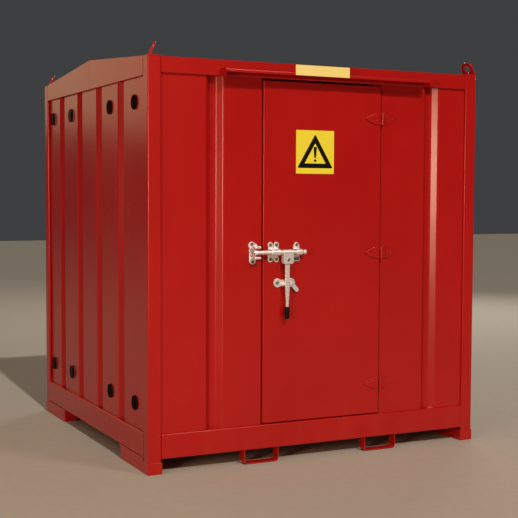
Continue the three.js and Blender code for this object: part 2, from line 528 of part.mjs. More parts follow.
// ---------------------------------------------------------------- hood, name plate, sign
const hoodY = [-HOOD.out, -GAP];
const cap = (x0) => prism('x', [[hoodY[0], HOOD.z1 - HOOD.cap], [hoodY[1], HOOD.z1 - HOOD.cap + 6],
  [hoodY[1], HOOD.z1], [hoodY[0], HOOD.z1]], x0, x0 + HOOD.t);
add('rain_hood', join(
  block(HOOD.x0, HOOD.x1, ...hoodY, HOOD.z1 - HOOD.t, HOOD.z1),
  block(HOOD.x0, HOOD.x1, hoodY[0], hoodY[0] + HOOD.t, HOOD.z1 - HOOD.lip, HOOD.z1),
  cap(HOOD.x0), cap(HOOD.x1 - HOOD.t)), RED);
add('name_plate', block(NAME_PLATE.x0, NAME_PLATE.x1, -HOOD.out - GAP - NAME_PLATE.t,
  -HOOD.out - GAP, NAME_PLATE.z0, NAME_PLATE.z1), YELLOW);
add('hazard_sign', block(SIGN.x0, SIGN.x1, padY - SIGN.t, padY, SIGN.z0, SIGN.z1), YELLOW);

// ---------------------------------------------------------------- centre the model
const bounds = new THREE.Box3().setFromObject(group);
const shift = new THREE.Vector3(-(bounds.min.x + bounds.max.x) / 2,
  -(bounds.min.y + bounds.max.y) / 2, -bounds.min.z);
group.children.forEach((mesh) => mesh.geometry.translate(shift.x, shift.y, shift.z));

export default group;
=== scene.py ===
"""Finished look of a walk-in steel store for hazardous goods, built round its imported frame."""

import logging
import math
from dataclasses import dataclass
from enum import Enum
from typing import Any, Callable, Iterable, Sequence

import bmesh
import bpy
from mathutils import Matrix, Quaternion, Vector


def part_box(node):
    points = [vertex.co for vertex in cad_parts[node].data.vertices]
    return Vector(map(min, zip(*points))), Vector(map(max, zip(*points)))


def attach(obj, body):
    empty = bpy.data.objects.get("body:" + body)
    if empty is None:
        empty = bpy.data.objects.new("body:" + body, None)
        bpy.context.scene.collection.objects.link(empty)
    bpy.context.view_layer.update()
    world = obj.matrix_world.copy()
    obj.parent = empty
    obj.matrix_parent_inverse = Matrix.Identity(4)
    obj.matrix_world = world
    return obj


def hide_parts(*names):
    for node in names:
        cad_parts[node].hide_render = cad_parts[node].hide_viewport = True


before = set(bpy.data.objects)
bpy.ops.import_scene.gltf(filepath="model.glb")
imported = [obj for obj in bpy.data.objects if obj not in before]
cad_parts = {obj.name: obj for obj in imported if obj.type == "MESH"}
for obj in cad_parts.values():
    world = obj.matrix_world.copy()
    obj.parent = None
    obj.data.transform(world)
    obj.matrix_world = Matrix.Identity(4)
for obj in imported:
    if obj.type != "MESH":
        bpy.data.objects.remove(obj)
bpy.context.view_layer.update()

LOG = logging.getLogger("walk_in_store")

MM = 0.001
Point = tuple[float, float, float]
Flat = tuple[float, float]

# The store's own layout, in millimetres from the front left corner post and the ground.
WIDTH = 2185.0
DEPTH = 2070.0
EAVE = 2300.0
POST = 78.0
FRAME_T = 4.0
SHEET_T = 3.0
WALL_SET = 15.0
LIP = 14.7
GAP = 0.3
RAIL_START = POST + GAP
HALF_T = FRAME_T / 2
ROOF_RISE = 80.0
SEAM_HALF = 0.8
CARD_T = 2.0
CARD_EDGE = 0.4
ROD_Y = -30.0
ROD_Z = 1220.0
DOOR_FACE = 4.7
WALL_FACE = WALL_SET - GAP

TOUCH = 0.1  # how far off a plane still counts as on it
SHARP = 32.0  # the turn between faces, in degrees, that stays a sharp edge
# Stands a plate up: its own x along the layout's y, its y upright, its thickness along x.
UPRIGHT = Matrix(((0, 0, 1, 0), (1, 0, 0, 0), (0, 1, 0, 0), (0, 0, 0, 1)))


class Body(Enum):
    """The bodies that pieces ride on."""

    STORE = "store"
    DOOR = "door"
    LOCK_BAR = "lock_bar"
    LEVER = "lever"
    CATCH = "catch"


class Axis(Enum):
    """The direction a section is drawn out along."""

    X = "x"
    Y = "y"
    Z = "z"


# ---------------------------------------------------------------- place in the shared frame
@dataclass(frozen=True)
class Site:
    """Where the corner of the layout stands in the shared frame, in metres."""

    x: float
    y: float

    @classmethod
    def from_post(cls) -> "Site":
        """Reads the corner from the front left post's lowest corner."""
        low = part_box("post_front_left")[0]
        return cls(low.x, low.y)

    def matrix(self) -> Matrix:
        """The turn from layout millimetres to frame metres."""
        return Matrix.Translation((self.x, self.y, 0.0)) @ Matrix.Scale(MM, 4)

    def at(self, x: float, y: float, z: float) -> Vector:
        """A layout point in frame metres."""
        return Vector((self.x + x * MM, self.y + y * MM, z * MM))


SITE = Site.from_post()


# ---------------------------------------------------------------- shader maths
class Wire:
    """One socket of a shader tree, with sums written as operators."""

    def __init__(self, paint: "Paint", socket: bpy.types.NodeSocket) -> None:
        """Keeps the tree's builder and the socket."""
        self.paint = paint
        self.socket = socket

    def _sum(self, operation: str, first: Any, second: Any) -> "Wire":
        """Adds one Math node.

        Args:
            operation: The node's operation.
            first: The first value or wire.
            second: The second value or wire.

        Returns:
            The wire that carries the result.
        """
        return self.paint.node("ShaderNodeMath", {"operation": operation}, {0: first, 1: second})

    def __add__(self, other: Any) -> "Wire":
        """Sum."""
        return self._sum("ADD", self, other)

    __radd__ = __add__

    def __sub__(self, other: Any) -> "Wire":
        """Difference."""
        return self._sum("SUBTRACT", self, other)

    def __rsub__(self, other: Any) -> "Wire":
        """Difference the other way round."""
        return self._sum("SUBTRACT", other, self)

    def __mul__(self, other: Any) -> "Wire":
        """Product."""
        return self._sum("MULTIPLY", self, other)

    __rmul__ = __mul__

    def __pow__(self, other: Any) -> "Wire":
        """Power."""
        return self._sum("POWER", self, other)

    def clamped(self) -> "Wire":
        """The value kept between 0 and 1."""
        return self.paint.node("ShaderNodeClamp", {}, {0: self})


class Paint:
    """Builds the node tree of one finish."""

    def __init__(self, name: str) -> None:
        """Starts an empty material with a shader and an output.

        Args:
            name: The finish's name.
        """
        self.material = bpy.data.materials.new(name)
        self.material.use_nodes = True
        self.tree = self.material.node_tree
        self.tree.nodes.clear()
        self.shader = self.tree.nodes.new("ShaderNodeBsdfPrincipled")
        output = self.tree.nodes.new("ShaderNodeOutputMaterial")
        self.tree.links.new(self.shader.outputs[0], output.inputs[0])

    def node(self, kind: str, settings: dict[str, Any] | None = None,
             inputs: dict[Any, Any] | None = None, output: Any = 0) -> Wire:
        """Adds a node.

        Args:
            kind: The node's type.
            settings: Its settings, set first; "stops" are a ramp's (place, colour) pairs.
            inputs: Values or wires by socket name or number.
            output: The name or number of the output wanted.

        Returns:
            The wire from that output.
        """
        made = self.tree.nodes.new(kind)
        for key, value in (settings or {}).items():
            if key == "stops":
                elements = made.color_ramp.elements
                while len(elements) < len(value):
                    elements.new(0.5)
                for element, (place, colour) in zip(elements, value):
                    element.position = place
                    element.color = (*colour, 1.0)
            else:
                setattr(made, key, value)
        for key, value in (inputs or {}).items():
            self.feed(made.inputs[key], value)
        return Wire(self, made.outputs[output])

    def feed(self, socket: bpy.types.NodeSocket, value: Any) -> None:
        """Links a wire to a socket, or sets its value.

        Args:
            socket: The socket.
            value: A wire, a number, a vector or a colour.
        """
        if isinstance(value, Wire):
            self.tree.links.new(value.socket, socket)
        elif isinstance(value, tuple) and socket.type == "RGBA":
            socket.default_value = (*value, 1.0)
        else:
            socket.default_value = value

    def place(self) -> Wire:
        """The surface's own coordinates in metres."""
        return self.node("ShaderNodeTexCoord", {}, {}, "Object")

    def stretched(self, scale: Point) -> Wire:
        """The surface's coordinates, scaled along each axis."""
        return self.node("ShaderNodeVectorMath", {"operation": "MULTIPLY"},
                         {0: self.place(), 1: scale})

    def noise(self, scale: float, detail: float = 2.0, stretch: Point | None = None) -> Wire:
        """Cloudy noise.

        Args:
            scale: Clouds to the metre.
            detail: How fine it goes.
            stretch: The scale of each axis, if they differ.

        Returns:
            The noise, about 0.5 on average.
        """
        where = self.stretched(stretch) if stretch else self.place()
        return self.node("ShaderNodeTexNoise", {},
                         {"Vector": where, "Scale": scale, "Detail": detail}, 0)

    def ramp(self, value: Wire, low: float, high: float) -> Wire:
        """The value spread so that low becomes 0 and high becomes 1."""
        return self.node("ShaderNodeMapRange", {"clamp": True},
                         {"Value": value, "From Min": low, "From Max": high})

    def blend(self, factor: Any, first: Any, second: Any) -> Wire:
        """One colour mixed into another.

        Args:
            factor: How much of the second.
            first: The first colour.
            second: The second colour.

        Returns:
            The mixed colour.
        """
        return self.node("ShaderNodeMix", {"data_type": "RGBA"},
                         {0: factor, 6: first, 7: second}, 2)

    def bump(self, height: Wire, depth: float, under: Wire | None = None) -> Wire:
        """A bumped normal.

        Args:
            height: The height, 0 to 1.
            depth: The height of 1, in metres.
            under: A bump that this one lies on.

        Returns:
            The normal.
        """
        inputs: dict[Any, Any] = {"Height": height, "Distance": depth, "Strength": 1.0}
        if under:
            inputs["Normal"] = under
        return self.node("ShaderNodeBump", {}, inputs, 0)

    def finish(self, **sockets: Any) -> bpy.types.Material:
        """Feeds the shader; names have _ for a space.

        Args:
            **sockets: Values or wires by socket name.

        Returns:
            The material.
        """
        for name, value in sockets.items():
            self.feed(self.shader.inputs[name.replace("_", " ")], value)
        return self.material


@dataclass(frozen=True)
class Enamel:
    """Sprayed industrial enamel on folded sheet."""

    name: str
    colour: Point
    dusty: Point
    roughness: float
    darker: float = 0.90
    dust_top: float = 0.5
    road_dust: float = 0.10
    film: float = 0.012
    peel: float = 0.00003
    wave: float = 0.0012

    def make(self) -> bpy.types.Material:
        """Makes the enamel: cloudy colour, road dust low down, orange peel, wavy sheet.

        Returns:
            The material.
        """
        paint = Paint(self.name)
        cloud = paint.ramp(paint.noise(1.7, 4.0), 0.3, 0.7)
        streak = paint.ramp(paint.noise(1.0, 3.0, (9.0, 9.0, 0.8)), 0.4, 0.8)
        height = paint.node("ShaderNodeSeparateXYZ", {}, {0: paint.place()}, 2)
        low = 1.0 - paint.ramp(height, 0.0, self.dust_top)
        speck = paint.ramp(paint.noise(240.0, 2.0), 0.45, 0.8)
        darker = tuple(c * self.darker for c in self.colour)
        base = paint.blend(cloud, darker, self.colour)
        dust = (low * streak * self.road_dust + streak * self.film + speck * self.film).clamped()
        colour = paint.blend(dust, base, self.dusty)
        peel = paint.bump(paint.noise(330.0, 1.0), self.peel)
        wave = paint.bump(paint.noise(2.3, 1.0), self.wave, peel)
        return paint.finish(Base_Color=colour, Normal=wave, Specular_IOR_Level=0.4,
                            Roughness=self.roughness + cloud * 0.05 + dust * 0.5)


@dataclass(frozen=True)
class Plated:
    """Bare plated steel."""

    name: str
    colour: Point
    stain: Point
    roughness: float
    metal: float = 1.0
    spangle: float = 0.0
    pit: float = 0.000003

    def make(self) -> bpy.types.Material:
        """Makes the plating: spangle or mottle, faint yellowing, fine pits.

        Returns:
            The material.
        """
        paint = Paint(self.name)
        mottle = paint.ramp(paint.noise(55.0, 2.0), 0.35, 0.7)
        pits = paint.noise(900.0, 2.0)
        if self.spangle:
            cells = paint.node("ShaderNodeTexVoronoi", {},
                               {"Vector": paint.place(), "Scale": self.spangle}, "Color")
            mottle = paint.node("ShaderNodeRGBToBW", {}, {0: cells}) * 0.6 + mottle * 0.4
        colour = paint.blend(mottle, self.stain, self.colour)
        return paint.finish(Base_Color=colour, Metallic=self.metal,
                            Normal=paint.bump(pits, self.pit),
                            Roughness=self.roughness + (1.0 - mottle) * 0.12)


@dataclass(frozen=True)
class Matt:
    """Rubber, dipped plastic, print or sheet colour without metal."""

    name: str
    colour: Point
    worn: Point
    roughness: float
    grain: float = 600.0
    depth: float = 0.00004
    gloss: float = 0.12

    def make(self) -> bpy.types.Material:
        """Makes the surface: faint scuffs and a fine grain.

        Returns:
            The material.
        """
        paint = Paint(self.name)
        scuff = paint.ramp(paint.noise(14.0, 5.0), 0.42, 0.85)
        colour = paint.blend(scuff * 0.5, self.colour, self.worn)
        return paint.finish(Base_Color=colour, Roughness=self.roughness + scuff * 0.12,
                            Specular_IOR_Level=self.gloss,
                            Normal=paint.bump(paint.noise(self.grain, 2.0), self.depth))


class Coats:
    """Every finish of the store, made once."""

    def __init__(self) -> None:
        """Mixes the finishes."""
        sheet = {"grain": 400.0, "depth": 0.00001}
        self.red = Enamel("red_enamel", (0.40, 0.0055, 0.0042), (0.40, 0.08, 0.025), 0.22).make()
        self.inside = Enamel("inside_red", (0.34, 0.008, 0.006), (0.26, 0.09, 0.06), 0.38).make()
        self.zinc = Plated("bright_zinc", (0.97, 0.95, 0.95), (0.92, 0.87, 0.84), 0.22, 0.62).make()
        self.galvanised = Plated("galvanised", (0.62, 0.64, 0.65), (0.36, 0.38, 0.39), 0.42,
                                 0.85, 90.0).make()
        self.yellow = Matt("yellow_sheet", (0.80, 0.68, 0.045), (0.76, 0.56, 0.05), 0.42,
                           **sheet).make()
        self.card = Matt("pale_card", (0.84, 0.69, 0.23), (0.80, 0.60, 0.19), 0.42, **sheet).make()
        # Bolt heads darker and browner than the plated parts round them.
        self.dark_bolts = Plated("dark_bolt_heads", (0.34, 0.26, 0.20), (0.16, 0.11, 0.08), 0.35, 0.6).make()
        self.print = Matt("black_print", (0.004, 0.003, 0.003), (0.010, 0.009, 0.008), 0.5,
                          **sheet).make()
        self.rubber = Matt("sponge_rubber", (0.014, 0.014, 0.014), (0.04, 0.04, 0.04), 0.8).make()
        self.grip = Matt("dipped_grip", (0.004, 0.003, 0.003), (0.010, 0.010, 0.010), 0.45).make()
        # Near black on the vent discs, rims and gauze is painted shade for the dark inside of each
        # vent.
        self.shade_gauze = Matt("vent_black_painted_shade", (0.003, 0.003, 0.003), (0.006, 0.006, 0.006), 0.6).make()
        self.floor = Matt("studio_floor", (0.44, 0.38, 0.31), (0.40, 0.34, 0.28), 0.85,
                          40.0, 0.0001).make()


COATS = Coats()


# ---------------------------------------------------------------- outlines
def arc(cx: float, cy: float, r: float, a: float, b: float, steps: int = 12) -> list[Flat]:
    """Points on a circle from angle a to b, in degrees.

    Args:
        cx: The centre's first coordinate.
        cy: The centre's second coordinate.
        r: The radius.
        a: The first angle.
        b: The last angle.
        steps: How many steps between them.

    Returns:
        The points.
    """
    turns = [math.radians(a + (b - a) * i / steps) for i in range(steps + 1)]
    return [(cx + r * math.cos(t), cy + r * math.sin(t)) for t in turns]


def circle(cx: float, cy: float, r: float, steps: int) -> list[Flat]:
    """A whole circle, as a closed outline."""
    return arc(cx, cy, r, 0, 360, steps)[:-1]


def rounded(points: Sequence[Flat], r: float, steps: int = 5, closed: bool = True) -> list[Flat]:
    """A polyline with its corners turned into arcs.

    Args:
        points: The corners.
        r: The radius of each arc, less where a side is too short for it.
        steps: Steps to an arc.
        closed: Whether the last corner joins the first.

    Returns:
        The rounded polyline.
    """
    out: list[Flat] = []
    count = len(points)
    for i, p in enumerate(points):
        if not closed and i in (0, count - 1):
            out.append(p)
            continue
        here = Vector(p)
        back = Vector(points[i - 1]) - here
        on = Vector(points[(i + 1) % count]) - here
        half = back.angle(on) / 2
        reach = min(r / math.tan(half), back.length * 0.48, on.length * 0.48)
        start = here + back.normalized() * reach
        end = here + on.normalized() * reach
        for s in range(steps + 1):
            t = s / steps
            bow = start * (1 - t) ** 2 + here * (2 * t * (1 - t)) + end * t ** 2
            out.append((bow.x, bow.y))
    return out


def rectangle(x0: float, x1: float, y0: float, y1: float, r: float) -> list[Flat]:
    """A rectangle with rounded corners."""
    return rounded([(x0, y0), (x1, y0), (x1, y1), (x0, y1)], r)


def folded(centre: Sequence[Flat], t: float, r: float) -> list[Flat]:
    """The outline of a folded sheet.

    Args:
        centre: The middle line of the sheet, corner by corner.
        t: The sheet's thickness.
        r: The fold radius at the middle of the sheet.

    Returns:
        The closed outline.
    """
    line = [Vector(p) for p in rounded(centre, r, 5, closed=False)]
    sides: tuple[list[Flat], list[Flat]] = ([], [])
    for i, p in enumerate(line):
        ahead = line[min(i + 1, len(line) - 1)] - p
        behind = p - line[max(i - 1, 0)]
        along = (ahead.normalized() + behind.normalized()).normalized()
        across = Vector((-along.y, along.x)) * (t / 2)
        sides[0].append(tuple(p + across))
        sides[1].append(tuple(p - across))
    return sides[0] + sides[1][::-1]


# ---------------------------------------------------------------- solids in the making
class Stock:
    """A mesh being made, in layout millimetres."""

    def __init__(self, mesh: bmesh.types.BMesh | None = None) -> None:
        """Starts from a mesh, or from nothing."""
        self.bm = mesh or bmesh.new()

    def add(self, *others: "Stock") -> "Stock":
        """Takes in other stock, which is used up.

        Args:
            *others: What it takes in.

        Returns:
            Itself.
        """
        for other in others:
            spare = bpy.data.meshes.new("spare")
            other.bm.to_mesh(spare)
            self.bm.from_mesh(spare)
            bpy.data.meshes.remove(spare)
            other.bm.free()
        return self

    def turned(self, matrix: Matrix) -> "Stock":
        """Moves the stock, and returns itself."""
        bmesh.ops.transform(self.bm, matrix=matrix, verts=self.bm.verts)
        return self

    def soften(self, width: float, segments: int = 3,
               test: Callable[[Vector, Vector], bool] | None = None,
               least: float = 20.0) -> "Stock":
        """Rounds sharp edges.

        Args:
            width: The radius.
            segments: Steps round it.
            test: Takes an edge's two ends and says whether it is rounded.
            least: The smallest turn between faces that counts, in degrees.

        Returns:
            Itself.
        """
        edges = [e for e in self.bm.edges if len(e.link_faces) == 2
                 and e.calc_face_angle(0.0) > math.radians(least)
                 and (test is None or test(e.verts[0].co, e.verts[1].co))]
        bmesh.ops.bevel(self.bm, geom=edges, offset=width, offset_type="OFFSET",
                        segments=segments, profile=0.5, affect="EDGES", clamp_overlap=True)
        return self


def draw(axis: Axis, outline: Sequence[Flat], start: float, end: float) -> Stock:
    """A prism.

    Args:
        axis: The direction it is drawn along.
        outline: Its section; (y, z) along X, (x, z) along Y, (x, y) along Z.
        start: Where it starts on the axis.
        end: Where it ends.

    Returns:
        The prism.
    """
    def spot(p: Flat, d: float) -> Point:
        """The point p of the outline at the distance d."""
        if axis is Axis.X:
            return (d, p[0], p[1])
        return (p[0], d, p[1]) if axis is Axis.Y else (p[0], p[1], d)

    stock = Stock()
    near = [stock.bm.verts.new(spot(p, start)) for p in outline]
    far = [stock.bm.verts.new(spot(p, end)) for p in outline]
    stock.bm.faces.new(near)
    stock.bm.faces.new(far[::-1])
    for i in range(len(outline)):
        j = (i + 1) % len(outline)
        stock.bm.faces.new((near[i], far[i], far[j], near[j]))
    bmesh.ops.recalc_face_normals(stock.bm, faces=stock.bm.faces)
    return stock


def block(x0: float, x1: float, y0: float, y1: float, z0: float, z1: float) -> Stock:
    """A block between two corners."""
    return draw(Axis.Z, [(x0, y0), (x1, y0), (x1, y1), (x0, y1)], z0, z1)


def turned_bar(axis: Axis, centre: Flat, profile: Sequence[Flat], sides: int = 40) -> Stock:
    """A bar turned on a lathe.

    Args:
        axis: Its axis.
        centre: The two other coordinates of the axis, in x, y, z order.
        profile: (place along the axis, radius) from end to end.
        sides: Facets round it.

    Returns:
        The bar, closed at both ends.
    """
    stock = Stock()
    rings = []
    for place, r in profile:
        ring = []
        for i in range(sides):
            turn = 2 * math.pi * i / sides
            u, v = centre[0] + r * math.cos(turn), centre[1] + r * math.sin(turn)
            spot = {Axis.X: (place, u, v), Axis.Y: (u, place, v), Axis.Z: (u, v, place)}[axis]
            ring.append(stock.bm.verts.new(spot))
        rings.append(ring)
    for one, two in zip(rings, rings[1:]):
        for i in range(sides):
            j = (i + 1) % sides
            stock.bm.faces.new((one[i], one[j], two[j], two[i]))
    stock.bm.faces.new(rings[0][::-1])
    stock.bm.faces.new(rings[-1])
    bmesh.ops.recalc_face_normals(stock.bm, faces=stock.bm.faces)
    return stock


def round_bar(axis: Axis, r: float, centre: Flat, start: float, end: float,
              ease: float = 1.0, sides: int = 40) -> Stock:
    """A round bar whose ends are eased by a small radius.

    Args:
        axis: Its axis.
        r: Its radius.
        centre: The two other coordinates of the axis, in x, y, z order.
        start: Where it starts on the axis.
        end: Where it ends.
        ease: The radius at its ends.
        sides: Facets round it.

    Returns:
        The bar.
    """
    return turned_bar(axis, centre, [(start, r - ease), (start + ease * 0.3, r - ease * 0.3),
                                     (start + ease, r), (end - ease, r),
                                     (end - ease * 0.3, r - ease * 0.3), (end, r - ease)], sides)


def plate(outlines: Sequence[Sequence[Flat]], thickness: float, edge: float,
          matrix: Matrix) -> Stock:
    """A flat plate with holes and rounded edges.

    Args:
        outlines: The outer outline, then the holes.
        thickness: The plate's thickness.
        edge: The radius of its edges.
        matrix: Where its own x, y and z (through the thickness) go in the layout.

    Returns:
        The plate.
    """
    curve = bpy.data.curves.new("plate", "CURVE")
    curve.dimensions, curve.fill_mode = "2D", "BOTH"
    curve.extrude = thickness / 2 - edge
    curve.bevel_depth, curve.bevel_resolution, curve.offset = edge, 2, -edge
    for outline in outlines:
        spline = curve.splines.new("POLY")
        spline.points.add(len(outline) - 1)
        for target, (x, y) in zip(spline.points, outline):
            target.co = (x, y, 0.0, 1.0)
        spline.use_cyclic_u = True
    holder = bpy.data.objects.new("plate", curve)
    bpy.context.scene.collection.objects.link(holder)
    mesh = bpy.data.meshes.new_from_object(
        holder.evaluated_get(bpy.context.evaluated_depsgraph_get()))
    stock = Stock()
    stock.bm.from_mesh(mesh)
    bpy.data.objects.remove(holder)
    bpy.data.curves.remove(curve)
    bpy.data.meshes.remove(mesh)
    bmesh.ops.remove_doubles(stock.bm, verts=stock.bm.verts, dist=0.001)
    bmesh.ops.recalc_face_normals(stock.bm, faces=stock.bm.faces)
    return stock.turned(matrix)


def facing_front(x: float, y: float, z: float, turn: float = 0.0) -> Matrix:
    """Stands a plate up to face the front.

    Args:
        x: Where its middle is across the front.
        y: Where the middle of its thickness is.
        z: How high its middle is.
        turn: Its turn in its own plane, in degrees.

    Returns:
        The plate's matrix.
    """
    return (Matrix.Translation((x, y, z)) @ Matrix.Rotation(math.radians(90), 4, "X")
            @ Matrix.Rotation(math.radians(turn), 4, "Z"))


def from_cad(node: str) -> Stock:
    """A merged copy of a CAD node, in the layout.

    Args:
        node: The node's name.

    Returns:
        The copy, with flat faces whole again.
    """
    stock = Stock()
    stock.bm.from_mesh(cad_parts[node].data)
    stock.turned(SITE.matrix().inverted())
    bmesh.ops.remove_doubles(stock.bm, verts=stock.bm.verts, dist=0.02)
    bmesh.ops.dissolve_limit(stock.bm, angle_limit=math.radians(1.0), verts=stock.bm.verts,
                             edges=stock.bm.edges)
    return stock


# ---------------------------------------------------------------- finishing a piece
def bake_modifiers(piece: bpy.types.Object) -> None:
    """Turns a piece's modifiers into plain mesh.

    Args:
        piece: The piece.
    """
    graph = bpy.context.evaluated_depsgraph_get()
    mesh = bpy.data.meshes.new_from_object(piece.evaluated_get(graph), depsgraph=graph)
    piece.modifiers.clear()
    piece.data = mesh


def settle(piece: bpy.types.Object, body: Body, nodes: Sequence[str]) -> None:
    """Puts a finished piece on its body.

    Args:
        piece: The piece.
        body: What it rides on.
        nodes: The CAD nodes that it stands for.
    """
    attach(piece, body.value)
    if nodes:
        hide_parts(*nodes)
    LOG.info("%s on %s, %d faces", piece.name, body.value, len(piece.data.polygons))


def object_from(name: str, stock: Stock,
                coat: bpy.types.Material | None = None) -> bpy.types.Object:
    """Makes an object of stock, in place; the stock is used up.

    Args:
        name: The object's name.
        stock: Its mesh.
        coat: Its finish, if it needs one.

    Returns:
        The object, linked to the scene.
    """
    mesh = bpy.data.meshes.new(name)
    stock.turned(SITE.matrix())
    stock.bm.to_mesh(mesh)
    stock.bm.free()
    if coat:
        mesh.materials.append(coat)
    made = bpy.data.objects.new(name, mesh)
    bpy.context.scene.collection.objects.link(made)
    return made


def smooth(piece: bpy.types.Object) -> None:
    """Shades every face of a piece smooth."""
    piece.data.polygons.foreach_set("use_smooth", [True] * len(piece.data.polygons))


def shade(piece: bpy.types.Object) -> None:
    """Smooths the bends of a piece and keeps its flats flat.

    Args:
        piece: The piece.
    """
    smooth(piece)
    piece.data.set_sharp_from_angle(angle=math.radians(SHARP))
    weigh = piece.modifiers.new("weigh", "WEIGHTED_NORMAL")
    weigh.keep_sharp = True
    bake_modifiers(piece)


def bore(piece: bpy.types.Object, drill: Stock) -> None:
    """Cuts a drill's shape out of a piece.

    Args:
        piece: The piece.
        drill: The shape, which is used up.
    """
    tool = object_from("drill", drill)
    cut = piece.modifiers.new("bore", "BOOLEAN")
    cut.operation, cut.solver, cut.object = "DIFFERENCE", "EXACT", tool
    bake_modifiers(piece)
    bpy.data.objects.remove(tool)


def piece_from(name: str, stock: Stock, coat: bpy.types.Material,
               forged: float = 0.0) -> bpy.types.Object:
    """Makes a piece of stock, in place, shaded and coated.

    Args:
        name: The piece's name.
        stock: Its mesh, which is used up.
        coat: Its finish.
        forged: The grid that joins and rounds a forging, in millimetres; 0 for none.

    Returns:
        The piece.
    """
    piece = object_from(name, stock, coat)
    if not forged:
        shade(piece)
        return piece
    remesh = piece.modifiers.new("forge", "REMESH")
    remesh.mode, remesh.voxel_size = "VOXEL", forged * MM
    ease = piece.modifiers.new("ease", "SMOOTH")
    ease.factor, ease.iterations = 0.5, 5
    bake_modifiers(piece)
    smooth(piece)
    return piece


def settle_red(name: str, stock: Stock, nodes: Sequence[str], body: Body = Body.STORE) -> None:
    """Makes one piece in the store's red enamel and puts it on its body.

    Args:
        name: The piece's name.
        stock: Its mesh, which is used up.
        nodes: The CAD nodes that it stands for.
        body: What it rides on.
    """
    settle(piece_from(name, stock, COATS.red), body, nodes)


# ---------------------------------------------------------------- repeated fittings
class Fitting:
    """A node tree that puts one small shape on every point."""

    def __init__(self, name: str) -> None:
        """Starts the tree.

        Args:
            name: The tree's name.
        """
        self.tree = bpy.data.node_groups.new(name, "GeometryNodeTree")
        self.tree.interface.new_socket("Points", in_out="INPUT", socket_type="NodeSocketGeometry")
        self.tree.interface.new_socket("Made", in_out="OUTPUT", socket_type="NodeSocketGeometry")
        self.inlet = self.tree.nodes.new("NodeGroupInput")
        self.outlet = self.tree.nodes.new("NodeGroupOutput")
        self.keys: dict[str, str] = {}

    def size(self, name: str, kind: str = "NodeSocketFloat") -> bpy.types.NodeSocket:
        """Adds a named input.

        Args:
            name: The input's name.
            kind: Its type of socket.

        Returns:
            Its socket inside the tree.
        """
        item = self.tree.interface.new_socket(name, in_out="INPUT", socket_type=kind)
        self.keys[name] = item.identifier
        return self.inlet.outputs[name]

    def node(self, kind: str, inputs: dict[str, Any], **settings: Any) -> bpy.types.Node:
        """Adds a node.

        Args:
            kind: The node's type.
            inputs: Values, or sockets to link, by input name.
            **settings: Its settings, set first.

        Returns:
            The node.
        """
        made = self.tree.nodes.new(kind)
        for key, value in settings.items():
            setattr(made, key, value)
        for key, value in inputs.items():
            if isinstance(value, bpy.types.NodeSocket):
                self.tree.links.new(value, made.inputs[key])
            else:
                made.inputs[key].default_value = value
        return made

    def close(self, shape: bpy.types.NodeSocket, points: bpy.types.NodeSocket,
              scale: Any = (1.0, 1.0, 1.0)) -> None:
        """Puts the shape on the points, makes it real and coats it.

        Args:
            shape: The socket with the shape.
            points: The socket with the points.
            scale: A scale, or a socket with a scale for each point.
        """
        turn = self.size("Turn", "NodeSocketRotation")
        coat = self.size("Coat", "NodeSocketMaterial")
        spread = self.node("GeometryNodeInstanceOnPoints", {
            "Points": points, "Instance": shape, "Rotation": turn, "Scale": scale})
        smooth = self.node("GeometryNodeSetShadeSmooth",
                           {"Geometry": spread.outputs[0], "Shade Smooth": True})
        real = self.node("GeometryNodeRealizeInstances", {"Geometry": smooth.outputs[0]})
        coated = self.node("GeometryNodeSetMaterial",
                           {"Geometry": real.outputs[0], "Material": coat})
        self.tree.links.new(coated.outputs[0], self.outlet.inputs[0])

    def fit(self, name: str, spots: Iterable[Point], turn: Point, coat: bpy.types.Material,
            sizes: dict[str, float], reach: Sequence[float] | None = None) -> bpy.types.Object:
        """Makes one plain mesh of the shape on every spot.

        Args:
            name: The piece's name.
            spots: Layout points.
            turn: How every shape is turned, in degrees about x, y and z.
            coat: The finish.
            sizes: The tree's sizes by name, in millimetres.
            reach: A length for each spot, in millimetres, where they differ.

        Returns:
            The piece.
        """
        mesh = bpy.data.meshes.new(name)
        mesh.from_pydata([SITE.at(*spot) for spot in spots], [], [])
        if reach is not None:
            lengths = mesh.attributes.new("reach", "FLOAT", "POINT")
            lengths.data.foreach_set("value", [r * MM for r in reach])
        piece = bpy.data.objects.new(name, mesh)
        bpy.context.scene.collection.objects.link(piece)
        modifier = piece.modifiers.new("fit", "NODES")
        modifier.node_group = self.tree
        for key, value in sizes.items():
            modifier[self.keys[key]] = value * MM
        modifier[self.keys["Turn"]] = [math.radians(t) for t in turn]
        modifier[self.keys["Coat"]] = coat
        piece.update_tag()
        bake_modifiers(piece)
        piece.data.set_sharp_from_angle(angle=math.radians(40))
        return piece


def bolt_fitting() -> Fitting:
    """Builds the tree of hexagon heads, each on a washer.

    Returns:
        The tree, with its sizes Head, Height and Washer.
    """
    kit = Fitting("hex_bolts")
    radius, height, washer = kit.size("Head"), kit.size("Height"), kit.size("Washer")
    lift = kit.node("ShaderNodeCombineXYZ", {"Z": height})
    head = kit.node("GeometryNodeMeshCylinder", {"Vertices": 6, "Radius": radius,
                                                 "Depth": height})
    raised = kit.node("GeometryNodeTransform",
                      {"Geometry": head.outputs["Mesh"], "Translation": lift.outputs[0]})
    ring = kit.node("GeometryNodeMeshCylinder", {"Vertices": 16, "Radius": washer,
                                                 "Depth": height})
    both = kit.node("GeometryNodeJoinGeometry", {})
    kit.tree.links.new(raised.outputs[0], both.inputs[0])
    kit.tree.links.new(ring.outputs["Mesh"], both.inputs[0])
    kit.close(both.outputs[0], kit.inlet.outputs["Points"])
    return kit


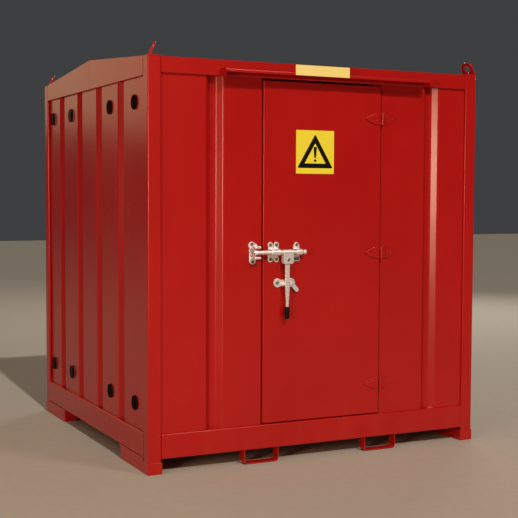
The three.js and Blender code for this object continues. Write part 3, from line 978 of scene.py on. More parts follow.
def dome_fitting(name: str, segments: int, rings: int) -> Fitting:
    """Builds a tree of low domes, for rivets and weld ripples.

    Args:
        name: The tree's name.
        segments: Facets round a dome.
        rings: Facets from pole to pole.

    Returns:
        The tree, with its sizes Radius and Height.
    """
    kit = Fitting(name)
    radius, height = kit.size("Radius"), kit.size("Height")
    ball = kit.node("GeometryNodeMeshUVSphere", {"Segments": segments, "Rings": rings,
                                                 "Radius": 1.0})
    squash = kit.node("ShaderNodeCombineXYZ", {"X": radius, "Y": radius, "Z": height})
    dome = kit.node("GeometryNodeTransform",
                    {"Geometry": ball.outputs["Mesh"], "Scale": squash.outputs[0]})
    kit.close(dome.outputs[0], kit.inlet.outputs["Points"])
    return kit


def wire_fitting() -> Fitting:
    """Builds the tree of straight wires, each with its own half length.

    Returns:
        The tree, with its size Radius.
    """
    kit = Fitting("wires")
    radius = kit.size("Radius")
    wire = kit.node("GeometryNodeMeshCylinder", {"Vertices": 6, "Radius": radius, "Depth": 2.0})
    reach = kit.node("GeometryNodeInputNamedAttribute", {"Name": "reach"}, data_type="FLOAT")
    scale = kit.node("ShaderNodeCombineXYZ", {"X": 1.0, "Y": 1.0, "Z": reach.outputs[0]})
    kit.close(wire.outputs["Mesh"], kit.inlet.outputs["Points"], scale.outputs[0])
    return kit


BOLTS = bolt_fitting()
RIVETS = dome_fitting("dome_rivets", 12, 6)
RIPPLES = dome_fitting("weld_ripples", 7, 4)
WIRES = wire_fitting()


def weld_bead(name: str, lines: Sequence[tuple[Point, Point]], body: Body,
              pitch: float, radius: float) -> None:
    """Lays a rippled weld along straight lines.

    Args:
        name: The piece's name.
        lines: Each line's two ends in the layout.
        body: What it rides on.
        pitch: From ripple to ripple.
        radius: The bead's radius.
    """
    spots: list[Point] = []
    for start, end in lines:
        a, b = Vector(start), Vector(end)
        count = max(2, int((b - a).length / pitch))
        spots += [tuple(a.lerp(b, i / count)) for i in range(count + 1)]
    bead = RIPPLES.fit(name, spots, (0, 0, 0), COATS.red, {"Radius": radius, "Height": radius})
    settle(bead, body, [])


# ---------------------------------------------------------------- corners
@dataclass(frozen=True)
class Corner:
    """One corner of the store."""

    name: str
    right: bool
    rear: bool

    def flat(self, points: Iterable[Flat]) -> list[Flat]:
        """Plan points of the front left corner, moved to this one."""
        return [(WIDTH - x if self.right else x, DEPTH - y if self.rear else y)
                for x, y in points]

    def spot(self, x: float, y: float, z: float) -> Point:
        """A point of the front left corner, moved to this one."""
        (a, b), = self.flat([(x, y)])
        return (a, b, z)


CORNERS = [Corner(f"{side}_{hand}", hand == "right", side == "rear")
           for side in ("front", "rear") for hand in ("left", "right")]


@dataclass
class Frame:
    """Corner posts, base and top rails and gables, all folded from thick sheet."""

    fold: float = 6.5
    rail_low: Flat = (82.0, 222.0)
    rail_high: float = 2210.0
    seat: float = 2290.0
    gable_low: float = 2200.0
    gable_edge: float = 1.6
    post_low: float = 66.0
    flange: float = 60.0

    def build(self) -> None:
        """Makes every member of the frame."""
        for corner in CORNERS:
            self.post(corner)
        self.base_rails()
        self.top_rails()
        for right in (False, True):
            self.gable(right)

    def member(self, name: str, axis: Axis, outlines: Sequence[Sequence[Flat]], start: float,
               end: float) -> None:
        """Draws out folded sections and finishes them as one member.

        Args:
            name: The member's CAD node.
            axis: The direction it is drawn along.
            outlines: Its sections.
            start: Where it starts on the axis.
            end: Where it ends.
        """
        stock = Stock().add(*(draw(axis, outline, start, end) for outline in outlines))
        settle_red(f"{name}_folded", stock, [name])

    def post(self, corner: Corner) -> None:
        """Makes one corner post.

        Args:
            corner: The corner it stands on.
        """
        leg = POST - HALF_T
        line = corner.flat([(LIP, leg), (HALF_T, leg), (HALF_T, HALF_T), (leg, HALF_T),
                            (leg, LIP)])
        self.member(f"post_{corner.name}", Axis.Z, [folded(line, FRAME_T, self.fold)],
                    self.post_low, EAVE)

    def base_rails(self) -> None:
        """Makes the four base rails, channels open to the inside."""
        low, high = self.rail_low[0] + HALF_T, self.rail_low[1] - HALF_T
        line = [(self.flange, low), (HALF_T, low), (HALF_T, high), (self.flange, high)]
        rails = (("front", Axis.X, 0.0, WIDTH), ("rear", Axis.X, DEPTH, WIDTH),
                 ("left", Axis.Y, 0.0, DEPTH), ("right", Axis.Y, WIDTH, DEPTH))
        for name, axis, far, length in rails:
            section = folded([(abs(far - a), z) for a, z in line], FRAME_T, self.fold)
            self.member(f"base_rail_{name}", axis, [section], RAIL_START, length - RAIL_START)

    def top_rails(self) -> None:
        """Makes the front and rear top rails with their roof seats."""
        face_z, seat_z = self.rail_high + HALF_T, self.seat + HALF_T
        face = [(LIP, face_z), (HALF_T, face_z), (HALF_T, EAVE)]
        seat = [(FRAME_T, seat_z), (self.flange, seat_z)]
        for name, far in (("front", 0.0), ("rear", DEPTH)):
            sections = [folded([(abs(far - a), z) for a, z in line], FRAME_T, self.fold)
                        for line in (face, seat)]
            self.member(f"top_rail_{name}", Axis.X, sections, RAIL_START, WIDTH - RAIL_START)

    def roof_line(self, y: float) -> float:
        """The gable's top at a distance from the front."""
        return EAVE + ROOF_RISE * min(y, DEPTH - y) / (DEPTH / 2)

    def gable(self, right: bool) -> None:
        """Makes one gable of two sheets that meet at a seam under the ridge.

        Args:
            right: Whether it is the right one.
        """
        side = "right" if right else "left"
        low, middle = self.gable_low, DEPTH / 2
        face_x = WIDTH if right else 0.0
        back_x, lip_x = abs(face_x - FRAME_T), abs(face_x - LIP)
        stock = Stock()
        for a, b in ((RAIL_START, middle - SEAM_HALF), (middle + SEAM_HALF, DEPTH - RAIL_START)):
            face = [(a, low), (b, low), (b, self.roof_line(b)), (a, self.roof_line(a))]
            sheet = draw(Axis.X, face, face_x, back_x).soften(
                self.gable_edge, 3, lambda p, q: max(abs(p.x - face_x), abs(q.x - face_x)) < TOUCH)
            stock.add(sheet, block(min(back_x, lip_x), max(back_x, lip_x), a, b, low,
                                   low + FRAME_T))
        settle_red(f"gable_{side}_sheets", stock, [f"gable_{side}"])


# ---------------------------------------------------------------- feet, eyes and fork guides
@dataclass
class Underside:
    """Feet under the corners and fork guides under the front and rear rails."""

    foot_fold: float = 3.0
    foot_faces: Flat = (-3.0, 83.0)
    guide_half: float = 108.0
    guide_top: float = 81.7
    guide_low: float = 5.0
    guide_t: float = 6.0
    guide_radius: float = 19.0
    guide_edge: float = 0.8
    guide_centres: Flat = (696.0, 1501.0)
    guide_length: float = 60.0

    def build(self) -> None:
        """Makes the feet and the fork guides."""
        for corner in CORNERS:
            node = f"foot_{corner.name}"
            stock = from_cad(node).soften(self.foot_fold, 4, self.outside)
            settle_red(f"{node}_pressed", stock, [node])
        for row, start in (("front", 0.0), ("rear", DEPTH - self.guide_length)):
            for hand, cx in zip(("left", "right"), self.guide_centres):
                self.guide(f"fork_guide_{row}_{hand}", cx, start)

    def outside(self, p: Vector, q: Vector) -> bool:
        """Whether an edge lies on a foot's left or right face.

        Args:
            p: One end of the edge.
            q: The other end.

        Returns:
            Whether it does.
        """
        rims = (*self.foot_faces, *(WIDTH - face for face in self.foot_faces))
        return all(min(abs(v.x - rim) for rim in rims) < TOUCH for v in (p, q))

    def guide(self, node: str, cx: float, start: float) -> None:
        """Makes one rounded guide for a fork.

        Args:
            node: Its CAD node.
            cx: Its middle across the store.
            start: Where it starts, from the front.
        """
        left, right = cx - self.guide_half, cx + self.guide_half
        line = [(left, self.guide_top), (left, self.guide_low), (right, self.guide_low),
                (right, self.guide_top)]
        stock = draw(Axis.Y, folded(line, self.guide_t, self.guide_radius), start,
                     start + self.guide_length)
        settle_red(f"{node}_bent", stock.soften(self.guide_edge, 2, least=60.0), [node])


@dataclass
class LiftingEyes:
    """Leaning rounded eye plates, welded to pads on the corner posts."""

    half: float = 44.0
    height: float = 82.0
    hole: float = 24.0
    sunk: float = 4.0
    thickness: float = 12.0
    edge: float = 1.6
    lean: float = 25.0
    turn: float = 14.0
    from_side: float = 22.0
    from_front: float = 46.0
    from_rear: float = 44.0
    pad: float = 74.0
    pad_top: float = 2306.3
    pad_edge: float = 1.4
    weld_half: float = 26.0
    weld_off: float = 8.0
    weld_pitch: float = 3.6
    weld_radius: float = 4.2

    def build(self) -> None:
        """Makes the four eyes and their welds."""
        crown = self.height - self.half
        outer = [(-self.half, -self.sunk), (self.half, -self.sunk),
                 *arc(0, crown, self.half, 0, 180, 36)]
        inner = circle(0, crown, self.hole, 36)
        for corner in CORNERS:
            node = f"lifting_eye_{corner.name}"
            eye = plate([outer, inner], self.thickness, self.edge, self.stand(corner))
            (ax, ay), (bx, by) = corner.flat([(0.0, 0.0), (self.pad, POST)])
            foot = block(min(ax, bx), max(ax, bx), min(ay, by), max(ay, by), EAVE + GAP,
                         self.pad_top).soften(self.pad_edge)
            settle_red(f"{node}_plate", eye.add(foot), [node])
            self.weld(node, corner)

    def along(self, corner: Corner) -> float:
        """How far an eye stands from the front or rear face."""
        return self.from_rear if corner.rear else self.from_front

    def stand(self, corner: Corner) -> Matrix:
        """Turns a plate inwards about the upright and leans it over.

        Args:
            corner: The corner it stands on.

        Returns:
            The plate's matrix.
        """
        hand = -1 if corner.right else 1
        lean, turn = math.radians(hand * self.lean), math.radians(-hand * self.turn)
        spot = corner.spot(self.from_side, self.along(corner), self.pad_top)
        return (Matrix.Translation(spot) @ Matrix.Rotation(turn, 4, "Z")
                @ Matrix.Rotation(lean, 4, "Y") @ UPRIGHT)

    def weld(self, node: str, corner: Corner) -> None:
        """Lays a bead along both sides of an eye's foot.

        Args:
            node: The eye's CAD node.
            corner: Its corner.
        """
        middle, half = self.along(corner), self.weld_half
        slant = half * math.tan(math.radians(self.turn)) * (-1 if corner.rear else 1)
        lines = []
        for s in (-1, 1):
            x = self.from_side + s * self.weld_off
            lines.append((corner.spot(x - slant, middle - half, self.pad_top),
                          corner.spot(x + slant, middle + half, self.pad_top)))
        weld_bead(f"{node}_weld", lines, Body.STORE, self.weld_pitch, self.weld_radius)


# ---------------------------------------------------------------- walls
def eased(u: float, w: float) -> float:
    """A ramp that starts at 0, with an eased bend.

    Args:
        u: The place on the ramp.
        w: How far to each side of 0 the bend reaches.

    Returns:
        The ramp's height.
    """
    if u <= -w:
        return 0.0
    return u if u >= w else (u + w) ** 2 / (4 * w)


@dataclass(frozen=True)
class Recess:
    """The folded recess that stiffens a wall sheet, over its full height."""

    open: float = 105.0
    run: float = 33.0
    depth: float = 35.0
    bend: float = 5.0

    def bends(self, centre: float) -> list[float]:
        """The four bend lines of the recess at a centre."""
        lo, hi = centre - self.open / 2, centre + self.open / 2
        return [lo, lo + self.run, hi - self.run, hi]

    def at(self, a: float, centre: float) -> float:
        """How deep the recess is at a place along the wall.

        Args:
            a: The place.
            centre: The middle of the recess.

        Returns:
            The depth in millimetres.
        """
        down, floor, up, out = self.bends(centre)
        w = self.bend
        return (eased(a - down, w) - eased(a - floor, w) - eased(a - up, w)
                + eased(a - out, w)) * self.depth / self.run

    def stops(self, centre: float) -> list[float]:
        """Where the mesh needs lines to carry the bends."""
        return [bend + self.bend * t for bend in self.bends(centre)
                for t in (-1, -0.6, -0.2, 0.2, 0.6, 1)]


@dataclass(frozen=True)
class Wall:
    """One ribbed sheet.

    It runs from start to end along x or y, with its face at a set place on the other axis;
    inward is the sign of the way in. A sheet may have a return at its end (1) or start (-1),
    and a lapped seam.
    """

    node: str
    start: float
    end: float
    face: float
    inward: int
    ribs: tuple[float, ...]
    along_x: bool
    return_at: int = 0
    seam: float = 0.0


@dataclass(frozen=True)
class Vent:
    """One round vent: a slotted disc behind the hole, gauze in it and a rim in front, all near black
    as painted shade for the dark inside of the vent.
    """

    hole: float = 39.0
    drill: float = 12.0
    disc: float = 47.0
    disc_t: float = 2.0
    disc_edge: float = 0.3
    disc_back: float = 5.2
    slots: tuple[float, ...] = (-24.0, -8.0, 8.0, 24.0)
    slot_half: Flat = (4.5, 27.0)
    slot_corner: float = 4.0
    rim: Flat = (42.5, 37.6)
    rim_t: float = 9.6
    rim_edge: float = 2.0
    rim_out: float = 4.6
    wire: float = 0.9
    wire_back: float = 2.6
    wire_pitch: float = 6.0
    wires: int = 13

    def insert(self, y: float, z: float, face: float, inward: int) -> Stock:
        """Makes the disc and the rim of one vent.

        Args:
            y: How far back it is.
            z: How high it is.
            face: Where the sheet's face is on x.
            inward: The sign of the way in.

        Returns:
            The disc and the rim.
        """
        wide, tall = self.slot_half
        holes = [rectangle(s - wide, s + wide, -tall, tall, self.slot_corner)
                 for s in self.slots]
        behind = Matrix.Translation((face + inward * self.disc_back, y, z)) @ UPRIGHT
        ahead = Matrix.Translation((face - inward * self.rim_out, y, z)) @ UPRIGHT
        disc = plate([circle(0, 0, self.disc, 40), *holes], self.disc_t, self.disc_edge, behind)
        rim = plate([circle(0, 0, r, 40) for r in self.rim], self.rim_t, self.rim_edge, ahead)
        return Stock().add(disc, rim)

    def shade_gauze(self, y: float, z: float, face: float, inward: int) -> list[tuple[Point, float]]:
        """The middle and half length of each wire across the hole.

        Args:
            y: How far back the vent is.
            z: How high it is.
            face: Where the sheet's face is on x.
            inward: The sign of the way in.

        Returns:
            A (middle, half length) for each wire.
        """
        x = face + inward * self.wire_back
        offsets = [(i - self.wires // 2) * self.wire_pitch for i in range(self.wires)]
        return [((x, y + d, z), math.sqrt(self.hole ** 2 - d ** 2)) for d in offsets]


@dataclass
class Walls:
    """The ribbed wall sheets, their vents and their seams."""

    recess: Recess = Recess()
    vent: Vent = Vent()
    low: float = 222.3
    high: float = 2289.7
    end: float = 60.0
    door_ends: Flat = (698.0, 1497.0)
    return_top: float = 2206.0
    return_depth: float = 45.7
    fold: float = 4.0
    fold_steps: int = 5
    side_seam: float = 1030.0
    seam_step: float = 2.6
    side_ribs: tuple[float, ...] = (488.0, 890.0, 1292.0, 1694.0)
    rear_ribs: tuple[float, ...] = (330.0, 711.0, 1092.5, 1474.0, 1855.0)
    front_ribs: Flat = (403.0, 1860.0)
    cross_lines: tuple[float, ...] = (600.0, 1000.0, 1400.0, 1800.0)
    vent_rows: tuple[float, ...] = (250.0, 680.0, 1475.0, 1900.0)
    vent_heights: Flat = (363.0, 2066.0)

    def build(self) -> None:
        """Makes the five sheets and dresses the vents."""
        back, side = DEPTH - self.end, WIDTH - self.end
        left_rib, right_rib = self.front_ribs
        sheets = [
            Wall("wall_left", self.end, back, WALL_SET, 1, self.side_ribs, False,
                 seam=self.side_seam),
            Wall("wall_right", self.end, back, WIDTH - WALL_SET, -1, self.side_ribs, False,
                 seam=self.side_seam),
            Wall("wall_rear", self.end, side, DEPTH - WALL_SET, -1, self.rear_ribs, True),
            Wall("wall_front_left", self.end, self.door_ends[0], WALL_SET, 1, (left_rib,), True,
                 return_at=1),
            Wall("wall_front_right", self.door_ends[1], side, WALL_SET, 1, (right_rib,), True,
                 return_at=-1),
        ]
        for wall in sheets:
            piece = self.sheet(wall)
            if not wall.along_x:
                bore(piece, self.drills(wall))
            shade(piece)
            settle(piece, Body.STORE, [wall.node])
            if not wall.along_x:
                self.vents(wall)

    def path(self, wall: Wall) -> list[tuple[float, float, bool]]:
        """The sheet's plan line.

        Args:
            wall: The sheet.

        Returns:
            (place, set back, on the return) for each line of the mesh.
        """
        edge = wall.end if wall.return_at > 0 else wall.start
        stops = {wall.start, wall.end}
        for centre in wall.ribs:
            stops.update(self.recess.stops(centre))
        if wall.seam:
            stops.update((wall.seam - SEAM_HALF, wall.seam + SEAM_HALF))
        if wall.return_at:
            stops.discard(edge)
        line = []
        for a in sorted(stops):
            step = self.seam_step if wall.seam and a > wall.seam else 0.0
            line.append((a, step + sum(self.recess.at(a, c) for c in wall.ribs), False))
        if not wall.return_at:
            return line
        turns = [math.pi / 2 * i / self.fold_steps for i in range(self.fold_steps + 1)]
        tail = [(edge - wall.return_at * (self.fold * (1 - math.sin(t))),
                 self.fold * (1 - math.cos(t)), False) for t in turns]
        tail.append((edge, self.return_depth - WALL_SET, True))
        return line + tail if wall.return_at > 0 else tail[::-1] + line

    def sheet(self, wall: Wall) -> bpy.types.Object:
        """Makes one sheet with its thickness.

        Args:
            wall: The sheet.

        Returns:
            The sheet, still to be bored and shaded.
        """
        line = self.path(wall)
        levels = [self.low, *self.cross_lines, self.return_top, self.high]
        stock = Stock()
        rows = []
        for z in levels:
            row = []
            for a, back, _ in line:
                d = wall.face + wall.inward * back
                row.append(stock.bm.verts.new((a, d, z) if wall.along_x else (d, a, z)))
            rows.append(row)
        for i, z in enumerate(levels[1:]):
            for j in range(len(line) - 1):
                if z > self.return_top and (line[j][2] or line[j + 1][2]):
                    continue
                stock.bm.faces.new((rows[i][j], rows[i][j + 1], rows[i + 1][j + 1],
                                    rows[i + 1][j]))
        self.face_out(stock, wall)
        spare = [v for v in stock.bm.verts if not v.link_faces]
        bmesh.ops.delete(stock.bm, geom=spare, context="VERTS")
        piece = object_from(f"{wall.node}_ribbed", stock, COATS.red)
        thick = piece.modifiers.new("thickness", "SOLIDIFY")
        thick.thickness, thick.offset = SHEET_T * MM, -1.0
        bake_modifiers(piece)
        return piece

    @staticmethod
    def face_out(stock: Stock, wall: Wall) -> None:
        """Turns every face of a thin sheet to the outside of the store.

        Args:
            stock: The sheet's mesh.
            wall: The sheet.
        """
        stock.bm.normal_update()
        axis = 1 if wall.along_x else 0
        total = sum(f.normal[axis] * f.calc_area() for f in stock.bm.faces)
        if total * wall.inward > 0:
            bmesh.ops.reverse_faces(stock.bm, faces=stock.bm.faces)

    def vent_spots(self) -> list[Flat]:
        """Each vent's place along the wall and height."""
        return [(y, z) for y in self.vent_rows for z in self.vent_heights]

    def drills(self, wall: Wall) -> Stock:
        """The rods that cut the vent holes through a side sheet."""
        low, high = wall.face - self.vent.drill, wall.face + self.vent.drill
        return Stock().add(*(round_bar(Axis.X, self.vent.hole, spot, low, high, 0.5, 48)
                             for spot in self.vent_spots()))

    def vents(self, wall: Wall) -> None:
        """Backs each hole with a slotted disc and gauze, near black as painted shade for the dark
        inside.

        Args:
            wall: The side sheet.
        """
        side = wall.node.removeprefix("wall_")
        inserts = Stock()
        wires: list[tuple[Point, float]] = []
        for y, z in self.vent_spots():
            inserts.add(self.vent.insert(y, z, wall.face, wall.inward))
            wires += self.vent.shade_gauze(y, z, wall.face, wall.inward)
        # Discs, rims and gauze are near black: painted shade for the dark inside of the vent.
        settle(piece_from(f"vent_inserts_{side}", inserts, COATS.shade_gauze), Body.STORE,
               [])
        spots, reach = zip(*wires)
        shade_gauze = WIRES.fit(f"vent_gauze_{side}", spots, (0, 0, 0), COATS.shade_gauze,
                          {"Radius": self.vent.wire}, reach)
        settle(shade_gauze, Body.STORE, [])


# ---------------------------------------------------------------- roof, hood and plates
@dataclass
class Roof:
    """Two roof slopes under a folded ridge strip."""

    ridge: float = 2378.6
    half: float = 70.0
    strip_t: float = 1.5
    fold: float = 3.0
    strip_end: float = 5.0
    rivet_in: float = 18.0
    rivet_up: float = 0.8
    rivet_start: float = 90.0
    rivet_pitch: float = 222.0
    rivets: int = 10

    def build(self) -> None:
        """Coats the slopes and adds the ridge strip with its rivets."""
        for side in ("front", "rear"):
            node = f"roof_{side}"
            settle_red(f"{node}_sheet", from_cad(node), [node])
        middle = DEPTH / 2
        drop = ROOF_RISE / middle * self.half
        line = [(middle - self.half, self.ridge - drop), (middle, self.ridge),
                (middle + self.half, self.ridge - drop)]
        settle_red("ridge_strip", draw(Axis.X, folded(line, self.strip_t, self.fold),
                                       self.strip_end, WIDTH - self.strip_end), [])
        z = self.ridge - drop * (1 - self.rivet_in / self.half) + self.rivet_up
        spots = [(self.rivet_start + self.rivet_pitch * i, middle + s * (self.half - self.rivet_in),
                  z) for i in range(self.rivets) for s in (-1, 1)]
        rivets = RIVETS.fit("ridge_rivets", spots, (0, 0, 0), COATS.red,
                            {"Radius": 4.0, "Height": 1.6})
        settle(rivets, Body.STORE, [])


@dataclass
class Hood:
    """The folded rain hood over the door, with a blank plate on its lip."""

    left: float = 427.0
    right: float = 1790.0
    out: float = 80.0
    top: float = 2247.0
    lip: float = 20.0
    fold: float = 7.0
    cap: float = 44.0
    cap_rise: float = 6.0
    cap_corner: float = 3.0
    cap_edge: float = 0.8
    plate_low: Flat = (862.0, 2229.0)
    plate_high: Flat = (1217.0, 2288.0)
    plate_corner: float = 4.0
    plate_out: float = 1.3

    def build(self) -> None:
        """Makes the hood and its plate."""
        z, y = self.top - SHEET_T / 2, SHEET_T / 2 - self.out
        line = [(-GAP, z), (y, z), (y, self.top - self.lip)]
        hood = draw(Axis.X, folded(line, SHEET_T, self.fold), self.left, self.right)
        low = self.top - self.cap
        side = [(-self.out, low), (-GAP, low + self.cap_rise), (-GAP, self.top),
                (-self.out, self.top)]
        for x in (self.left, self.right - SHEET_T):
            cap = draw(Axis.X, rounded(side, self.cap_corner), x, x + SHEET_T)
            hood.add(cap.soften(self.cap_edge, 2, least=60))
        settle_red("rain_hood_folded", hood, ["rain_hood"])
        (x0, z0), (x1, z1) = self.plate_low, self.plate_high
        card = plate([rectangle(x0, x1, z0, z1, self.plate_corner)], CARD_T, CARD_EDGE,
                     facing_front(0, -self.out - self.plate_out, 0))
        settle(piece_from("name_plate_blank", card, COATS.card), Body.STORE,
               ["name_plate"])


# ---------------------------------------------------------------- door
@dataclass
class Doorway:
    """The folded door frame behind the leaf."""

    front: float = 46.0
    back: float = 86.0
    fold: float = 4.0
    heights: Flat = (222.3, 2289.7)
    clear: Flat = (725.3, 1467.7)
    jambs: tuple[Flat, Flat] = ((665.0, 725.0), (1468.0, 1530.0))
    header: Flat = (2165.0, 2205.0)
    sill: Flat = (222.3, 262.0)

    def channel(self, a: float, b: float) -> list[Flat]:
        """The section of a frame member between a and b, as (across, depth)."""
        a, b, front = a + HALF_T, b - HALF_T, self.front + HALF_T
        return folded([(a, self.back), (a, front), (b, front), (b, self.back)], FRAME_T,
                      self.fold)

    def build(self) -> None:
        """Makes the jambs, header and sill."""
        for side, jamb in zip(("left", "right"), self.jambs):
            node = f"door_jamb_{side}"
            settle_red(f"{node}_folded", draw(Axis.Z, self.channel(*jamb), *self.heights), [node])
        for node, rail in (("door_header", self.header), ("door_sill", self.sill)):
            section = [(y, z) for z, y in self.channel(*rail)]
            settle_red(f"{node}_folded", draw(Axis.X, section, *self.clear), [node])


@dataclass
class Door:
    """The pan leaf with its stiffeners, seal and sign."""

    left: float = 703.0
    right: float = 1490.0
    low: float = 228.0
    high: float = 2200.0
    front: float = 5.0
    fold: float = 5.0
    sign_middle: Flat = (1038.0, 1799.0)
    sign_half: float = 126.0
    sign_corner: float = 3.0
    sign_y: float = 3.7
    marks_y: float = 2.5
    marks_t: float = 0.4
    marks_edge: float = 0.05
    triangle_low: float = 33.0
    triangle_high: float = 22.0
    triangle_half: float = 118.0
    triangle_band: float = 27.0

    def build(self) -> None:
        """Makes the leaf and everything fixed flat on it."""
        leaf = from_cad("door_leaf").soften(self.fold, 5, self.on_rim)
        settle_red("door_leaf_pan", leaf, ["door_leaf"], Body.DOOR)
        stiff = from_cad("door_stiffener").soften(2.0, 3)
        settle(piece_from("door_stiffener_folded", stiff, COATS.inside), Body.DOOR,
               ["door_stiffener"])
        seal = from_cad("door_seal").soften(1.2, 3)
        settle(piece_from("door_seal_sponge", seal, COATS.rubber), Body.DOOR,
               ["door_seal"])
        self.sign()

    def on_rim(self, p: Vector, q: Vector) -> bool:
        """Whether an edge is one of the leaf's outer folds.

        Args:
            p: One end of the edge.
            q: The other end.

        Returns:
            Whether both ends lie on two of the leaf's outer planes.
        """
        def planes(v: Vector) -> tuple[bool, bool, bool]:
            """Whether a point is on a side, on the top or bottom, and on the front."""
            return (min(abs(v.x - self.left), abs(v.x - self.right)) < TOUCH,
                    min(abs(v.z - self.low), abs(v.z - self.high)) < TOUCH,
                    abs(v.y - self.front) < TOUCH)
        return sum(a and b for a, b in zip(planes(p), planes(q))) >= 2

    def sign(self) -> None:
        """Makes the yellow sheet and its plain triangle and mark."""
        (cx, cz), half = self.sign_middle, self.sign_half
        card = plate([rectangle(-half, half, -half, half, self.sign_corner)], CARD_T, CARD_EDGE,
                     facing_front(cx, self.sign_y, cz))
        settle(piece_from("hazard_sign_sheet", card, COATS.yellow), Body.DOOR,
               ["hazard_sign"])
        base, apex = self.triangle_low - half, half - self.triangle_high
        wide, band, tall = self.triangle_half, self.triangle_band, apex - base
        top = apex - band * math.hypot(wide, tall) / wide
        inner_half = (top - base - band) * wide / tall
        outer = rounded([(-wide, base), (wide, base), (0.0, apex)], 7.0)
        inner = rounded([(-inner_half, base + band), (inner_half, base + band), (0.0, top)], 2.0)
        stroke = rounded([(-5.5, -34.0), (5.5, -34.0), (11.5, 30.0), (-11.5, 30.0)], 5.0)
        dot = circle(0.0, -49.0, 8.0, 24)
        lie = facing_front(cx, self.marks_y, cz)
        marks = Stock().add(*(plate(outlines, self.marks_t, self.marks_edge, lie)
                              for outlines in ([outer, inner], [stroke], [dot])))
        settle(piece_from("hazard_sign_marks", marks, COATS.print), Body.DOOR, [])


@dataclass(frozen=True)
class Leaf:
    """One side of a hinge; sign is the way it reaches along x."""

    side: str
    sign: int
    start: float
    length: float
    face: float
    body: Body


@dataclass
class Hinges:
    """Three hinges of two pressed strap leaves, on knuckles round one pin."""

    x: float = 1496.5
    y: float = -7.0
    heights: tuple[float, ...] = (2006.0, 1204.0, 413.0)
    leaves: tuple[Leaf, Leaf] = (Leaf("door", -1, 0.0, 112.0, DOOR_FACE, Body.DOOR),
                                 Leaf("wall", 1, 4.5, 96.0, WALL_FACE, Body.STORE))
    radius: float = 9.0
    tall: float = 72.0
    thickness: float = 6.0
    edge: float = 2.6
    knuckle_edge: float = 0.8
    web_edge: float = 1.0
    tip: float = 12.0
    straight: float = 0.36
    curve: float = 1.35
    notch: float = 11.5
    pin: float = 6.2
    pin_up: float = 2.4

    def build(self) -> None:
        """Makes every leaf of every hinge."""
        for i, z in enumerate(self.heights, 1):
            for leaf in self.leaves:
                self.leaf(f"hinge_{i}_{leaf.side}_leaf", z, leaf)

    def strap(self, leaf: Leaf) -> list[Flat]:
        """A leaf that runs straight from the barrel and then curves in to a rounded nose.

        Args:
            leaf: The leaf.

        Returns:
            Its closed outline, about the barrel.
        """
        tip, half = self.tip, self.tall / 2
        upper = []
        for i in range(15):
            t = i / 14
            fall = max(0.0, (t - self.straight) / (1 - self.straight)) ** self.curve
            upper.append((leaf.start + (leaf.length - tip - leaf.start) * t,
                          half + (tip * 0.9 - half) * fall))
        nose = arc(leaf.length - tip, 0.0, tip, 66, -66, 14)
        lower = [(a, -b) for a, b in upper[::-1]]
        return [(leaf.sign * a, b) for a, b in upper + nose + lower]

    def leaf(self, node: str, z: float, leaf: Leaf) -> None:
        """Makes one leaf with its knuckles and rivets.

        Args:
            node: The leaf's CAD node.
            z: The height of the hinge's middle.
            leaf: The leaf.
        """
        middle, half = self.tall / 6, self.tall / 2
        shape = self.strap(leaf)
        if leaf.body is Body.DOOR:
            shape += [(0.0, -middle - 1), (-self.notch, -middle - 1),
                      (-self.notch, middle + 1), (0.0, middle + 1)]
            near, far = self.x - self.radius, self.x
            spans = [(z + middle + GAP, z + half), (z - half, z - middle - GAP)]
        else:
            near, far = self.x + 1, self.x + self.radius + 3
            spans = [(z - middle, z + middle)]
        centre = (self.x, self.y)
        stock = plate([shape], self.thickness, self.edge,
                      facing_front(self.x, leaf.face - self.thickness / 2, z))
        for a, b in spans:
            stock.add(round_bar(Axis.Z, self.radius, centre, a, b, self.knuckle_edge),
                      block(near, far, self.y, leaf.face, a, b).soften(self.web_edge))
        if leaf.body is Body.DOOR:
            stock.add(round_bar(Axis.Z, self.pin, centre, z + half - 1, z + half + self.pin_up,
                                1.5, 24))
        settle_red(f"{node}_pressed", stock, [node], leaf.body)
        places = ((leaf.length * 0.34, 14.0), (leaf.length * 0.34, -14.0),
                  (leaf.length * 0.78, 0.0))
        spots = [(self.x + leaf.sign * a, leaf.face - self.thickness, z + b) for a, b in places]
        heads = RIVETS.fit(f"{node}_rivets", spots, (90, 0, 0), COATS.red,
                           {"Radius": 6.0, "Height": 2.8})
        settle(heads, leaf.body, [])


# ---------------------------------------------------------------- lock bar
def lobe(x: float, z: float, r: float, y0: float, y1: float) -> Stock:
    """A round boss facing the front, its rims eased."""
    return round_bar(Axis.Y, r, (x, z), y0, y1, 1.6, 32)


@dataclass(frozen=True)
class Bracket:
    """One bearing bracket: its edges, its height over the lobes, its lobes above the bar."""

    left: float
    right: float
    tall: float
    tops: int


